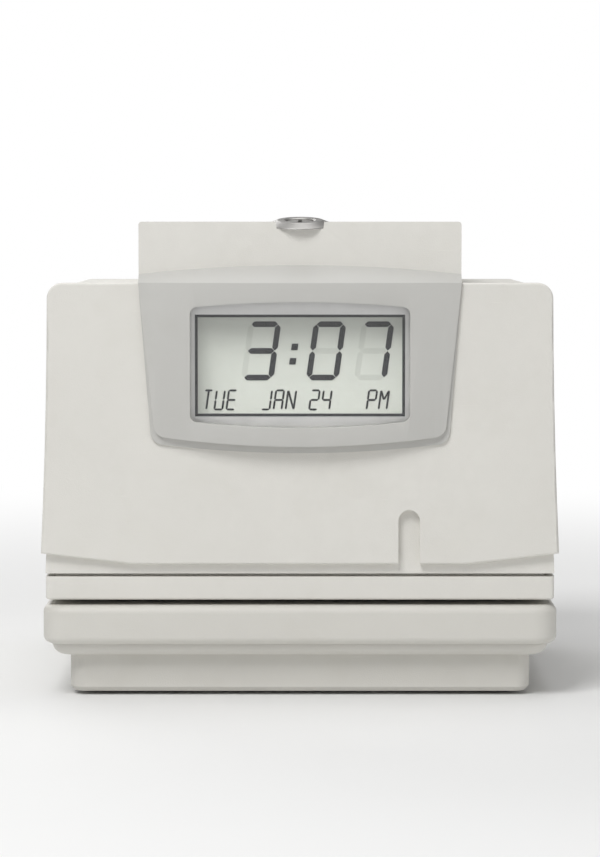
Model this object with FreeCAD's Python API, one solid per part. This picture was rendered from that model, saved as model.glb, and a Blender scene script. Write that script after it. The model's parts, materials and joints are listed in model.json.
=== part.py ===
import FreeCAD, Part
import math
import os

# Date and time stamp machine: a desk clock that prints the time on a sheet pushed into its throat.
# Frame: X to the right, Y to the back, Z up. Origin on the desk, in the middle of the machine.
# All lengths are millimetres and all angles are degrees.

V = FreeCAD.Vector

# ---- fits and walls ----
WALL = 2.5                    # moulded wall of every case part
FREE_GAP = 0.3                # clearance between parts that move past each other
RUN_GAP = 0.05                # radial clearance of a shaft in its bearing
SHEET = 1.5                   # steel sheet of the mechanism's frame
PCB = 1.6                     # circuit board

# ---- heights, from the desk up ----
Z_PLINTH_LOW = 1.2
Z_PLINTH_TOP = 13.5
Z_STEP_TOP = 17.3
Z_TABLE = 29.8
THROAT = 1.7
DECK_RIM = 7.5
REVEAL = 1.0
LIP = 2.5
Z_FACE_LOW = 43.2
Z_FACE_SIDE = 46.6
Z_FACE_TOP = 132.7
Z_HOOD_TOP = 152.0

# ---- half widths, measured from the middle plane ----
FACE_HALF_LOW = 82.5
FACE_HALF_TOP = 80.2
FLARE_BOW = 0.5
FACE_NOSE_HALF = 53.5
FACE_CORNER = 5.0
OVERHANG = 1.3
TABLE_HALF = 82.3
STEP_INSET = 2.8
PLINTH_INSET = 8.3
HOOD_HALF = 51.2

# ---- depths ----
Y_NOSE = -75.0                # foremost point, the middle of the bowed bezel
Y_TABLE_REAR = 75.0
POD_BOW = 3.8
POD_STEP = 1.2
FACE_THICK = 2.5
Y_CASE_REAR = 74.0
HOOD_LENGTH = 104.0
HOOD_FALL = 26.0
Y_SPINE = -2.0                # front of the raised rear part of the table, the throat's back wall

# ---- rounding ----
TABLE_BULGE = 2.5
STEP_ROUND = 3.5
PLINTH_BEVEL = 1.5
PLAN_CORNER = 8.0
THROAT_ROUND = 0.9
CASE_REAR_ROUND = 3.0
FACE_EDGE_ROUND = 0.7
HOOD_EDGE_ROUND = 1.0

# ---- display ----
POD_HALF_LOW = 47.15
POD_RIM = 1.15
POD_FLOOR = 2.3
POD_CORNER = 3.5
Z_POD_CORNER = 81.4
POD_SAG = 2.7
POD_RISE_SIDE = 2.7
POD_RISE_MIDDLE = 5.5
WINDOW_HALF = 34.8
Z_WINDOW_LOW = 88.6
Z_WINDOW_TOP = 125.2
WINDOW_ARCH = 1.5
WINDOW_SAG = 1.8
WINDOW_CORNER = 2.5
LENS_THICK = 1.2
LENS_FIT = 0.1
LENS_LAND = 2.0
LCD_HALF = 33.5
LCD_ABOVE_SILL = 1.4          # visible glass starts above the window's lower corners
LCD_BELOW_HEAD = 2.7
LCD_RIM = 5.0
LCD_DEPTH = 4.7
LCD_GLASS = 2.0
LCD_LIP = 0.6
LCD_SHEET = 1.0
LCD_FIT = 0.2
LCD_BACK_INSET = 1.0

# ---- sight notch of the print position ----
NOTCH_X = 34.7
NOTCH_HALF = 3.4
Z_NOTCH_TOP = 60.5

# ---- cam lock in the hood's front edge ----
LOCK_TILT = 8.0
LOCK_SETBACK = 8.15           # from the hood's front to the middle of the collar
LOCK_SINK = 1.1
COLLAR_R = 10.75
COLLAR_TOP_R = 7.35
COLLAR_HEIGHT = 1.7
BARREL_R = 6.0
BARREL_LENGTH = 14.0
PLUG_R = 4.5
STUD_R = 2.5
CAM_THICK = 1.5
CAM_REACH = 14.0
CAM_HALF = 4.0
LOCK_SEAT = 3.5
CLIP_THICK = 1.5
CLIP_HALF = 9.5
CLIP_GROOVE = 0.8

# ---- print mechanism ----
PRINT_Y = -42.0
PRINT_TRAVEL = 48.0
GEAR_ROOM = 14.4              # from the case's narrowest side to the left plate, for the gears
ROD_END_ROOM = 10.9           # from the case's narrowest side to the right plate, for the rods' clips
PLATE_REAR = 14.0
Z_PLATE_TOP = 84.0
FRONT_ROD_Y = -28.0
REAR_ROD_Y = -4.0
ROD_Z = 62.0
ROD_R = 3.0
SCREW_Y = -16.0
SCREW_Z = 64.0
SCREW_R = 4.0
JOURNAL_R = 2.5
BUSHING_R = 5.0
GEAR_MODULE = 1.0
GEAR_WIDTH = 4.0
GEAR_BACKLASH = 0.12
GEAR_RIM = 4.0
GEAR_RECESS = 2.4
GEAR_HUB = 3.0
GEAR_HOLE_R = 4.0
GEAR_HOLES = 5
PRESSURE_ANGLE = 20.0
SCREW_TEETH = 48
MOTOR_TEETH = 16
MOTOR_LIFT = 35.0             # direction from the lead screw up to the motor
MOTOR_R = 17.5
MOTOR_LENGTH = 22.0
MOTOR_SHAFT_R = 1.5
MOTOR_BOSS_R = 5.5
CAN_BEVEL = 0.8
CARRIAGE_HALF = 13.0
HEAD_HALF = 11.0
HEAD_LONG = 17.0
HEAD_CORNER = 2.5
NOZZLE_HALF = 3.5
SENSOR_CLEAR = 5.3
SENSOR_BACK = 4.0
Z_NOZZLE = 32.4

# ---- ribbon ----
CARTRIDGE_LEFT = -32.0
CARTRIDGE_RIGHT = 56.0
CARTRIDGE_FRONT = -34.0
CARTRIDGE_REAR = 8.0
CARTRIDGE_HEIGHT = 14.0
ARM_WIDTH = 4.0
RIBBON_WIDTH = 7.0
RIBBON_THICK = 0.25
MASK_THICK = 0.2
SPINDLE_X = -22.0
SPINDLE_Y = -20.0
RIBBON_TEETH = 28
RIBBON_MOTOR_TEETH = 16
RIBBON_MOTOR_R = 10.0
RIBBON_MOTOR_HEIGHT = 14.0
RIBBON_GEAR_WIDTH = 3.0
KNOB_R = 6.0

# ---- throat ----
PLATEN_HALF_Y = 4.5
PLATEN_DEPTH = 6.0
STOP_TRIGGER_GAP = 6.0        # from the stop's end to the middle of the trigger
STOP_BAR = 4.2
STOP_TRAVEL = 24.0
STOP_LEG_INSET = 4.0
STOP_LEG_HALF = 1.8
STOP_THICK = 1.1
TRIGGER_ROOM = 4.5            # from the left plate to the middle of the trigger
TRIGGER_Y = -34.0
TRIGGER_Z = 42.0
TRIGGER_HALF = 1.5
TRIGGER_TIP = 30.5
TRIGGER_SWEEP = 30.0
PIN_R = 1.0

# ---- fasteners and feet ----
FOOT_R = 6.8
FOOT_RECESS = 0.8
FOOT_EDGE = 20.3              # from the table's side to the middle of a foot
FOOT_FRONT_EDGE = 34.7
FOOT_REAR_EDGE = 35.5
SCREW_SHANK_R = 1.5
SCREW_HEAD_R = 3.0
SCREW_HEAD = 2.0
BOSS_R = 4.0
DECK_BOSS_R = 3.2
BASE_SCREW_EDGE = 16.3
BASE_SCREW_FRONT_EDGE = 18.2
BASE_SCREW_REAR_EDGE = 17.0
DECK_SCREW_EDGE = 8.7
DECK_SCREW_FRONT_EDGE = 14.0  # behind the throat's back wall
DECK_SCREW_REAR_EDGE = 8.0

# ---- electrics ----
BOARD_Y = 48.0
BOARD_EDGE = 23.2             # from the case's side to the board's edge
Z_BOARD_TOP = 112.0
CHIP_THICK = 2.5
HEADER_HALF_HEIGHT = 3.0
HEADER_DEPTH = 7.0
CELL_R = 7.0
CELL_LENGTH = 50.0
CELL_GAP = 2.5
CELLS = 3
DISPLAY_BOARD_EDGE = 5.5
BRACKET_THICK = 1.2
BRACKET_HEIGHT = 14.0
BRACKET_WINDOW_HALF = 9.0
BRACKET_WINDOW_PITCH = 26.0
STRAP_HALF = 5.0
BUTTON_X = 22.0
BUTTON_BELOW_GLASS = 10.5
BUTTON_R = 1.75
BUTTON_PROUD = 1.1
SWITCH_HALF = 3.0
SWITCH_DEPTH = 3.4
JACK_X = 45.0
JACK_R = 2.75
JACK_DEPTH = 9.0
JACK_HALF = 5.0
RIB_THICK = 1.8
RIB_DEPTH = 3.0

# ---- values that follow ----
Z_TABLE_LOW = Z_TABLE - WALL
Z_DECK = Z_TABLE + THROAT
Z_DECK_FLOOR = Z_DECK + WALL
Z_RIM = Z_DECK + DECK_RIM
Z_SKIRT = Z_RIM + REVEAL
Z_LIP = Z_RIM + LIP
Z_LCD_LOW = Z_WINDOW_LOW + LCD_ABOVE_SILL
Z_LCD_TOP = Z_WINDOW_TOP - LCD_BELOW_HEAD
BUTTON_Z = Z_LCD_LOW - BUTTON_BELOW_GLASS
CASE_HALF = FACE_HALF_LOW - OVERHANG
PRINT_X = NOTCH_X                           # print head at home, in line with the sight notch
NARROW_HALF = min(FACE_HALF_LOW, FACE_HALF_TOP) - OVERHANG
LEFT_PLATE_X = GEAR_ROOM - NARROW_HALF      # inner face of the left side plate
RIGHT_PLATE_X = NARROW_HALF - ROD_END_ROOM  # inner face of the right side plate
TRIGGER_X = LEFT_PLATE_X + TRIGGER_ROOM
STOP_HALF = -TRIGGER_X - STOP_TRIGGER_GAP
STOP_LEG_X = STOP_HALF - STOP_LEG_INSET
BASE_SCREW_X = TABLE_HALF - BASE_SCREW_EDGE
DECK_SCREW_X = CASE_HALF - DECK_SCREW_EDGE
FOOT_X = TABLE_HALF - FOOT_EDGE
BOARD_HALF = CASE_HALF - BOARD_EDGE
DISPLAY_BOARD_HALF = LCD_HALF + LCD_RIM + DISPLAY_BOARD_EDGE
Y_POD_SIDE = Y_NOSE + POD_BOW
Y_FACE = Y_POD_SIDE + POD_STEP
Y_CASE_FRONT = Y_FACE + FACE_THICK
Y_TABLE_FRONT = Y_FACE - 0.2
Z_CASE_TOP = Z_FACE_TOP - OVERHANG
POD_RUN = POD_BOW * POD_RISE_SIDE / (POD_RISE_MIDDLE - POD_RISE_SIDE)
Y_LCD = Y_CASE_FRONT + WALL + FREE_GAP
Y_DISPLAY_BOARD = Y_LCD + LCD_DEPTH
Y_BRACKET = Y_DISPLAY_BOARD + PCB
PLATE_FRONT = Y_BRACKET + BRACKET_THICK
BASE_SCREW_FRONT = Y_TABLE_FRONT + BASE_SCREW_FRONT_EDGE
BASE_SCREW_REAR = Y_TABLE_REAR - BASE_SCREW_REAR_EDGE
DECK_SCREW_FRONT = Y_SPINE + DECK_SCREW_FRONT_EDGE
DECK_SCREW_REAR = Y_CASE_REAR - DECK_SCREW_REAR_EDGE
FOOT_FRONT = Y_TABLE_FRONT + FOOT_FRONT_EDGE
FOOT_REAR = Y_TABLE_REAR - FOOT_REAR_EDGE
MOTOR_DISTANCE = GEAR_MODULE * (SCREW_TEETH + MOTOR_TEETH) / 2.0
MOTOR_Y = SCREW_Y + MOTOR_DISTANCE * math.cos(math.radians(MOTOR_LIFT))
MOTOR_Z = SCREW_Z + MOTOR_DISTANCE * math.sin(math.radians(MOTOR_LIFT))
GEAR_X = LEFT_PLATE_X - SHEET - 1.0
RIBBON_MOTOR_X = SPINDLE_X - GEAR_MODULE * (RIBBON_TEETH + RIBBON_MOTOR_TEETH) / 2.0
Z_CARTRIDGE = Z_DECK_FLOOR + 1.0
Z_CARTRIDGE_TOP = Z_CARTRIDGE + CARTRIDGE_HEIGHT
Z_RIBBON_GEAR = Z_CARTRIDGE_TOP + 1.0
LOCK_POINT = V(0, Y_CASE_FRONT + LOCK_SETBACK, Z_HOOD_TOP - LOCK_SINK)


# ---------------------------------------------------------------- shapes shared by the parts

def block(x0, x1, y0, y1, z0, z1):
    """A box between two corners."""
    return Part.makeBox(x1 - x0, y1 - y0, z1 - z0, V(x0, y0, z0))


def post(radius, x, y, z0, z1):
    """An upright round bar."""
    return Part.makeCylinder(radius, z1 - z0, V(x, y, z0))


def cross_bar(radius, x0, x1, y, z):
    """A round bar that lies along X."""
    return Part.makeCylinder(radius, x1 - x0, V(x0, y, z), V(1, 0, 0))


def round_slab(half, y0, y1, z0, z1, corner, x_middle=0.0):
    """A flat slab whose upright corners are rounded."""
    slab = block(x_middle - half, x_middle + half, y0, y1, z0, z1)
    upright = [e for e in slab.Edges if abs(e.Vertexes[0].Z - e.Vertexes[1].Z) > 0.5 * (z1 - z0)]
    return slab.makeFillet(corner, upright)


def level_edges(shape, z):
    """The edges that lie at one height."""
    return [e for e in shape.Edges
            if abs(e.BoundBox.ZMin - z) < 1e-4 and abs(e.BoundBox.ZMax - z) < 1e-4]


def closed_face(start, steps):
    """A flat face inside a closed outline. A step is an end point, or an arc's middle and end points."""
    edges = []
    here = start
    for step in steps:
        if isinstance(step, tuple):
            edges.append(Part.Arc(here, step[0], step[1]).toShape())
            here = step[1]
        else:
            edges.append(Part.LineSegment(here, step).toShape())
            here = step
    return Part.Face(Part.Wire(edges))


def fuse_all(shapes):
    """One solid made of several that touch or overlap."""
    return shapes[0].multiFuse(shapes[1:]).removeSplitter()


def corner_arc(x, z, radius, side, up):
    """Middle point of a quarter arc whose corner is at x, z. side and up are +1 or -1."""
    pull = radius * (1 - math.sqrt(0.5))
    return x - side * pull, z - up * pull


def involute_angle(radius, base):
    """How far an involute of that base circle has turned at a radius, in radians."""
    ratio = max(radius / base, 1.0)
    return math.sqrt(ratio ** 2 - 1) - math.acos(1.0 / ratio)


def involute_gear(teeth, width, bore):
    """A spur gear along +Z with involute flanks, thinned by half the backlash, a tooth on +X."""
    pitch = GEAR_MODULE * teeth / 2.0
    base = pitch * math.cos(math.radians(PRESSURE_ANGLE))
    tip = pitch + 0.9 * GEAR_MODULE
    root = pitch - 1.2 * GEAR_MODULE
    half_tooth = (math.pi * GEAR_MODULE / 4.0 - GEAR_BACKLASH / 2.0) / pitch
    radii = [root, pitch, tip]
    at_pitch = involute_angle(pitch, base)
    half = [half_tooth + at_pitch - involute_angle(r, base) for r in radii]
    points = []
    for tooth in range(teeth):
        middle = 2 * math.pi * tooth / teeth
        points += [(r, middle - a) for r, a in zip(radii, half)]
        points += [(r, middle + a) for r, a in reversed(list(zip(radii, half)))]
    ring = [V(r * math.cos(a), r * math.sin(a), 0) for r, a in points]
    face = Part.Face(Part.makePolygon(ring + [ring[0]]))
    return face.extrude(V(0, 0, width)).cut(Part.makeCylinder(bore, width))


def lay_along_x(shape, x, y, z, spin=0.0):
    """Turns a part made along +Z so that it lies along +X, its +X on +Y, then spins it about X."""
    turned = shape.copy()
    turned.Placement = FreeCAD.Placement(V(0, 0, 0), FreeCAD.Rotation(V(1, 1, 1), 120))
    turned.rotate(V(0, 0, 0), V(1, 0, 0), spin)
    turned.translate(V(x, y, z))
    return turned


def tilt_to_lock(shape):
    """Moves a part made upright about the origin to the lock's leaning axis."""
    moved = shape.copy()
    moved.rotate(V(0, 0, 0), V(1, 0, 0), LOCK_TILT)
    moved.translate(LOCK_POINT)
    return moved


# ---------------------------------------------------------------- case

def case_block(y0, y1, inset, z_low):
    """The flared case from y0 to y1: sides that curve inwards from z_low up, and round top corners."""
    low = FACE_HALF_LOW - inset
    top = FACE_HALF_TOP - inset
    z_top = Z_FACE_TOP - inset
    flare_x = (low + top) / 2.0 - FLARE_BOW
    flare_z = (z_low + z_top) / 2.0
    outline = closed_face(V(-low, y0, z_low), [
        V(low, y0, z_low),
        (V(flare_x, y0, flare_z), V(top, y0, z_top)),
        V(-top, y0, z_top),
        (V(-flare_x, y0, flare_z), V(-low, y0, z_low)),
    ])
    body = outline.extrude(V(0, y1 - y0, 0))
    corners = [e for e in level_edges(body, z_top) if e.BoundBox.XLength < 1e-4]
    return body.makeFillet(max(FACE_CORNER - inset, 1.0), corners)


def hood_block(inset, z_low):
    """The raised middle of the cover: level top that falls in a curve towards the back."""
    front = Y_CASE_FRONT + inset
    top = Z_HOOD_TOP - inset
    back = Y_CASE_FRONT + HOOD_LENGTH - inset
    foot = back + HOOD_FALL
    drop = top - z_low
    half = HOOD_HALF - inset
    side = closed_face(V(-half, front, z_low), [
        V(-half, front, top),
        V(-half, back, top),
        (V(-half, back + 0.62 * HOOD_FALL, top - 0.28 * drop), V(-half, foot, z_low)),
        V(-half, front, z_low),
    ])
    return side.extrude(V(2 * half, 0, 0))


def wall_ribs():
    """Upright stiffening ribs inside the cover's back wall, and shorter ones inside its sides."""
    ribs = []
    for x in (-0.6 * CASE_HALF, 0.0, 0.6 * CASE_HALF):
        ribs.append(block(x - RIB_THICK / 2.0, x + RIB_THICK / 2.0, Y_CASE_REAR - WALL - RIB_DEPTH,
                          Y_CASE_REAR - 0.5 * WALL, Z_LIP + 4.0, Z_CASE_TOP - WALL - 6.0))
    for side in (-1, 1):
        for y in (0.25 * Y_CASE_REAR, 0.5 * Y_CASE_REAR):
            inner = side * (FACE_HALF_TOP - OVERHANG - WALL - 1.5)
            x0, x1 = sorted((inner, side * (FACE_HALF_TOP - OVERHANG - 0.5 * WALL)))
            ribs.append(block(x0, x1, y - RIB_THICK / 2.0, y + RIB_THICK / 2.0,
                              Z_LIP + 14.0, Z_CASE_TOP - WALL - 6.0))
    return ribs


def make_cover_shell():
    outer = case_block(Y_CASE_FRONT, Y_CASE_REAR, OVERHANG, Z_SKIRT)
    rear = [e for e in outer.Edges if e.BoundBox.YMin > Y_CASE_REAR - 1e-4
            and e.BoundBox.ZMax > Z_SKIRT + 1e-4]
    outer = outer.makeFillet(CASE_REAR_ROUND, rear)
    hood = hood_block(0.0, Z_CASE_TOP - 1.0)
    sharp = [e for e in hood.Edges if e.BoundBox.ZMin > Z_CASE_TOP and
             not (e.BoundBox.YMax < Y_CASE_FRONT + 1e-4 and e.BoundBox.XLength < 1e-4)]
    hood = hood.makeFillet(HOOD_EDGE_ROUND, [e for e in sharp if e.BoundBox.XLength < 1e-4])
    inner = case_block(Y_CASE_FRONT + WALL, Y_CASE_REAR - WALL, OVERHANG + WALL, Z_SKIRT)
    inner = fuse_all([inner, block(WALL - CASE_HALF, CASE_HALF - WALL, Y_CASE_FRONT + WALL,
                                   Y_CASE_REAR - WALL, Z_SKIRT - 1.0, Z_SKIRT)])
    hood_inner = hood_block(WALL, Z_CASE_TOP - WALL - 1.0)
    boss = tilt_to_lock(Part.makeCylinder(COLLAR_R + 2.0, LOCK_SEAT, V(0, 0, -LOCK_SEAT)))
    boss = boss.common(hood_block(0.1, Z_CASE_TOP))
    shell = fuse_all([outer, hood]).cut([inner, hood_inner])
    shell = fuse_all([shell, boss])
    tab_y = Y_CASE_FRONT + WALL + 16.0
    tabs = []
    for side in (-1, 1):
        wall_x = side * (CASE_HALF - WALL + 0.2)
        for y in (tab_y, tab_y + 104.0):
            low_x, high_x = sorted((wall_x, side * (CASE_HALF - WALL - 4.0)))
            tabs.append(block(low_x, high_x, y, y + 8.0, Z_LIP + FREE_GAP, Z_LIP + FREE_GAP + 2.0))
    shell = fuse_all([shell] + tabs + wall_ribs())
    margin = LCD_RIM - 1.5
    window = block(-LCD_HALF - margin, LCD_HALF + margin, Y_CASE_FRONT - 1, Y_CASE_FRONT + WALL + 1,
                   Z_LCD_LOW - margin - 1.1, Z_LCD_TOP + margin + 2.0)
    seat = tilt_to_lock(Part.makeCylinder(COLLAR_R + FREE_GAP, 8.0))
    hole = tilt_to_lock(Part.makeCylinder(BARREL_R + RUN_GAP, 12.0, V(0, 0, -10.0)))
    return shell.cut([window, seat, hole])


def make_front_fascia():
    low = FACE_HALF_LOW
    plate = case_block(Y_FACE, Y_CASE_FRONT, 0.0, Z_FACE_SIDE)
    foot = block(-low, low, Y_FACE, Y_CASE_FRONT, Z_FACE_LOW, Z_FACE_SIDE)
    plate = fuse_all([plate, foot])
    for side in (-1, 1):
        wedge = closed_face(V(side * FACE_NOSE_HALF, Y_FACE - 1, Z_FACE_LOW), [
            V(side * (low + 5), Y_FACE - 1, Z_FACE_LOW - 1),
            V(side * (low + 5), Y_FACE - 1, Z_FACE_SIDE
              + 5 * (Z_FACE_SIDE - Z_FACE_LOW) / (low - FACE_NOSE_HALF)),
            V(side * FACE_NOSE_HALF, Y_FACE - 1, Z_FACE_LOW),
        ])
        plate = plate.cut(wedge.extrude(V(0, FACE_THICK + 2, 0)))
    front = [e for e in plate.Edges if e.BoundBox.YMax < Y_FACE + 1e-4]
    plate = plate.makeFillet(FACE_EDGE_ROUND, front)
    mid_z = Z_NOTCH_TOP - NOTCH_HALF
    notch = closed_face(V(NOTCH_X - NOTCH_HALF, Y_FACE - 1, Z_FACE_LOW - 1), [
        V(NOTCH_X + NOTCH_HALF, Y_FACE - 1, Z_FACE_LOW - 1),
        V(NOTCH_X + NOTCH_HALF, Y_FACE - 1, mid_z),
        (V(NOTCH_X, Y_FACE - 1, Z_NOTCH_TOP), V(NOTCH_X - NOTCH_HALF, Y_FACE - 1, mid_z)),
        V(NOTCH_X - NOTCH_HALF, Y_FACE - 1, Z_FACE_LOW - 1),
    ]).extrude(V(0, FACE_THICK + 2, 0))
    opening = block(-WINDOW_HALF - 0.8, WINDOW_HALF + 0.8, Y_FACE - 1, Y_CASE_FRONT + 1,
                    Z_WINDOW_LOW - WINDOW_SAG - 0.4, Z_WINDOW_TOP + WINDOW_ARCH + 0.3)
    return plate.cut([notch, opening])


def pod_face(y, half_low, floor):
    """Front outline of the bezel: tapering sides, round lower corners and a sagging lower edge."""
    low = Z_POD_CORNER + floor
    radius = POD_CORNER
    slope = (HOOD_HALF - half_low) / (Z_FACE_TOP - low)
    side_x = half_low + slope * radius
    arc_x, arc_z = corner_arc(half_low, low, radius, 1, -1)
    return closed_face(V(-HOOD_HALF, y, Z_FACE_TOP), [
        V(-side_x, y, low + radius),
        (V(-arc_x, y, arc_z), V(radius - half_low, y, low)),
        (V(0, y, low - POD_SAG), V(half_low - radius, y, low)),
        (V(arc_x, y, arc_z), V(side_x, y, low + radius)),
        V(HOOD_HALF, y, Z_FACE_TOP),
        V(-HOOD_HALF, y, Z_FACE_TOP),
    ])


def window_face(y):
    """Outline of the viewing window, with bowed upper and lower edges."""
    half = WINDOW_HALF
    radius = WINDOW_CORNER
    top_x, top_z = corner_arc(half, Z_WINDOW_TOP, radius, 1, 1)
    low_x, low_z = corner_arc(half, Z_WINDOW_LOW, radius, 1, -1)
    return closed_face(V(-half, y, Z_WINDOW_LOW + radius), [
        (V(-low_x, y, low_z), V(radius - half, y, Z_WINDOW_LOW)),
        (V(0, y, Z_WINDOW_LOW - WINDOW_SAG), V(half - radius, y, Z_WINDOW_LOW)),
        (V(low_x, y, low_z), V(half, y, Z_WINDOW_LOW + radius)),
        V(half, y, Z_WINDOW_TOP - radius),
        (V(top_x, y, top_z), V(half - radius, y, Z_WINDOW_TOP)),
        (V(0, y, Z_WINDOW_TOP + WINDOW_ARCH), V(radius - half, y, Z_WINDOW_TOP)),
        (V(-top_x, y, top_z), V(-half, y, Z_WINDOW_TOP - radius)),
        V(-half, y, Z_WINDOW_LOW + radius),
    ])


def lens_block(grow, y0, y1):
    """The lens outline, which traps it between the bezel and the fascia."""
    half = WINDOW_HALF + LENS_LAND + grow
    return block(-half, half, y0, y1, Z_WINDOW_LOW - WINDOW_SAG - 1.4 - grow,
                 Z_WINDOW_TOP + WINDOW_ARCH + 1.8 + grow)


def make_display_bezel():
    bow_radius = (HOOD_HALF ** 2 + POD_BOW ** 2) / (2 * POD_BOW)
    centre_y = Y_NOSE + bow_radius
    bowed = Part.makeCylinder(bow_radius, 120, V(0, centre_y, 60))
    main = pod_face(Y_NOSE - 2, POD_HALF_LOW - POD_RIM, POD_FLOOR)
    main = main.extrude(V(0, Y_FACE - Y_NOSE + 2, 0)).common(bowed)
    rim = pod_face(Y_FACE - 0.8, POD_HALF_LOW, 0.0).extrude(V(0, 0.8, 0))
    section = closed_face(V(-HOOD_HALF, Y_POD_SIDE, Z_FACE_TOP), [
        (V(0, Y_NOSE, Z_FACE_TOP), V(HOOD_HALF, Y_POD_SIDE, Z_FACE_TOP)),
        V(HOOD_HALF, Y_CASE_FRONT, Z_FACE_TOP),
        V(-HOOD_HALF, Y_CASE_FRONT, Z_FACE_TOP),
        V(-HOOD_HALF, Y_POD_SIDE, Z_FACE_TOP),
    ])
    slope = POD_RISE_SIDE / POD_RUN
    facet_run = POD_RUN + POD_BOW + 1.0
    brow = section.extrude(V(0, facet_run, facet_run * slope))
    brow = brow.common(block(-HOOD_HALF, HOOD_HALF, Y_NOSE, Y_CASE_FRONT, Z_FACE_TOP, Z_HOOD_TOP))
    bezel = fuse_all([main, rim, brow])
    pocket = lens_block(LENS_FIT, Y_FACE - LENS_THICK - LENS_FIT, Y_FACE + 0.5)
    window = window_face(Y_NOSE - 3).extrude(V(0, 12, 0))
    return bezel.cut([pocket, window])


def make_window_lens():
    return lens_block(0.0, Y_FACE - LENS_THICK, Y_FACE)


# ---------------------------------------------------------------- base

def make_base_tray():
    half = TABLE_HALF - STEP_INSET
    front = Y_TABLE_FRONT + STEP_INSET
    rear = Y_TABLE_REAR - STEP_INSET
    step = round_slab(half, front, rear, Z_PLINTH_TOP, Z_STEP_TOP, PLAN_CORNER - 1.0)
    step = step.makeFillet(STEP_ROUND, level_edges(step, Z_PLINTH_TOP))
    plinth_half = TABLE_HALF - PLINTH_INSET
    plinth_front = Y_TABLE_FRONT + PLINTH_INSET
    plinth_rear = Y_TABLE_REAR - PLINTH_INSET
    plinth = round_slab(plinth_half, plinth_front, plinth_rear, Z_PLINTH_LOW, Z_PLINTH_TOP + 1.0,
                        PLAN_CORNER - 3.0)
    plinth = plinth.makeChamfer(PLINTH_BEVEL, level_edges(plinth, Z_PLINTH_LOW))
    inset = PLINTH_INSET + WALL
    hollow = round_slab(TABLE_HALF - inset, Y_TABLE_FRONT + inset, Y_TABLE_REAR - inset,
                        Z_PLINTH_LOW + WALL, Z_STEP_TOP + 1.0, 3.0)
    lip_inset = WALL + FREE_GAP
    lip_half = TABLE_HALF - lip_inset
    lip = round_slab(lip_half, Y_TABLE_FRONT + lip_inset, Y_TABLE_REAR - lip_inset,
                     Z_STEP_TOP - 0.5, Z_STEP_TOP + LIP, 5.0)
    lip = lip.common(block(-half, half, front, rear, Z_STEP_TOP - 1, Z_STEP_TOP + LIP))
    tray = fuse_all([step, plinth, lip]).cut(
        [hollow, round_slab(lip_half - 2.5, Y_TABLE_FRONT + lip_inset + 2.5,
                            Y_TABLE_REAR - lip_inset - 2.5, Z_STEP_TOP, Z_STEP_TOP + 4, 3.0)])
    tools = []
    posts = []
    for x, y in base_screw_places():
        posts.append(post(BOSS_R, x, y, Z_PLINTH_LOW + 0.5, Z_STEP_TOP))
        tools.append(post(SCREW_SHANK_R + 0.2, x, y, 0, Z_STEP_TOP + 1))
        tools.append(post(SCREW_HEAD_R + 0.2, x, y, 0, Z_PLINTH_LOW + WALL + 0.5))
    for x, y in foot_places():
        tools.append(post(FOOT_R + 0.1, x, y, 0, Z_PLINTH_LOW + FOOT_RECESS))
    tools.append(block(JACK_X - JACK_HALF - 1.0, JACK_X + JACK_HALF + 1.0, rear - 20.0,
                       Y_TABLE_REAR, Z_STEP_TOP, Z_STEP_TOP + LIP + 1.0))
    return fuse_all([tray] + posts).cut(tools)


def base_screw_places():
    return [(sx * BASE_SCREW_X, y) for sx in (-1, 1) for y in (BASE_SCREW_FRONT, BASE_SCREW_REAR)]


def deck_screw_places():
    return [(sx * DECK_SCREW_X, y) for sx in (-1, 1) for y in (DECK_SCREW_FRONT, DECK_SCREW_REAR)]


def foot_places():
    return [(sx * FOOT_X, y) for sx in (-1, 1) for y in (FOOT_FRONT, FOOT_REAR)]


def make_rubber_feet():
    feet = []
    for x, y in foot_places():
        foot = Part.makeCone(FOOT_R - 0.8, FOOT_R, 1.0, V(x, y, 0))
        feet.append(foot.fuse(post(FOOT_R, x, y, 1.0, Z_PLINTH_LOW + FOOT_RECESS)).removeSplitter())
    return Part.makeCompound(feet)


def make_case_screws():
    screws = []
    for x, y in base_screw_places():
        head_top = Z_PLINTH_LOW + WALL + 0.5
        screws.append(pan_screw(x, y, head_top, 1, Z_TABLE_LOW - 4.0))
    for x, y in deck_screw_places():
        screws.append(pan_screw(x, y, Z_DECK_FLOOR, -1, Z_DECK_FLOOR - 9.0))
    return Part.makeCompound(screws)


def pan_screw(x, y, z_head, direction, z_tip):
    """A screw whose head bears at z_head. direction +1 points the tip up."""
    shank = Part.makeCylinder(SCREW_SHANK_R, abs(z_tip - z_head), V(x, y, z_head), V(0, 0, direction))
    head = Part.makeCylinder(SCREW_HEAD_R, SCREW_HEAD, V(x, y, z_head), V(0, 0, -direction))
    return shank.fuse(head).removeSplitter()


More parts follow.
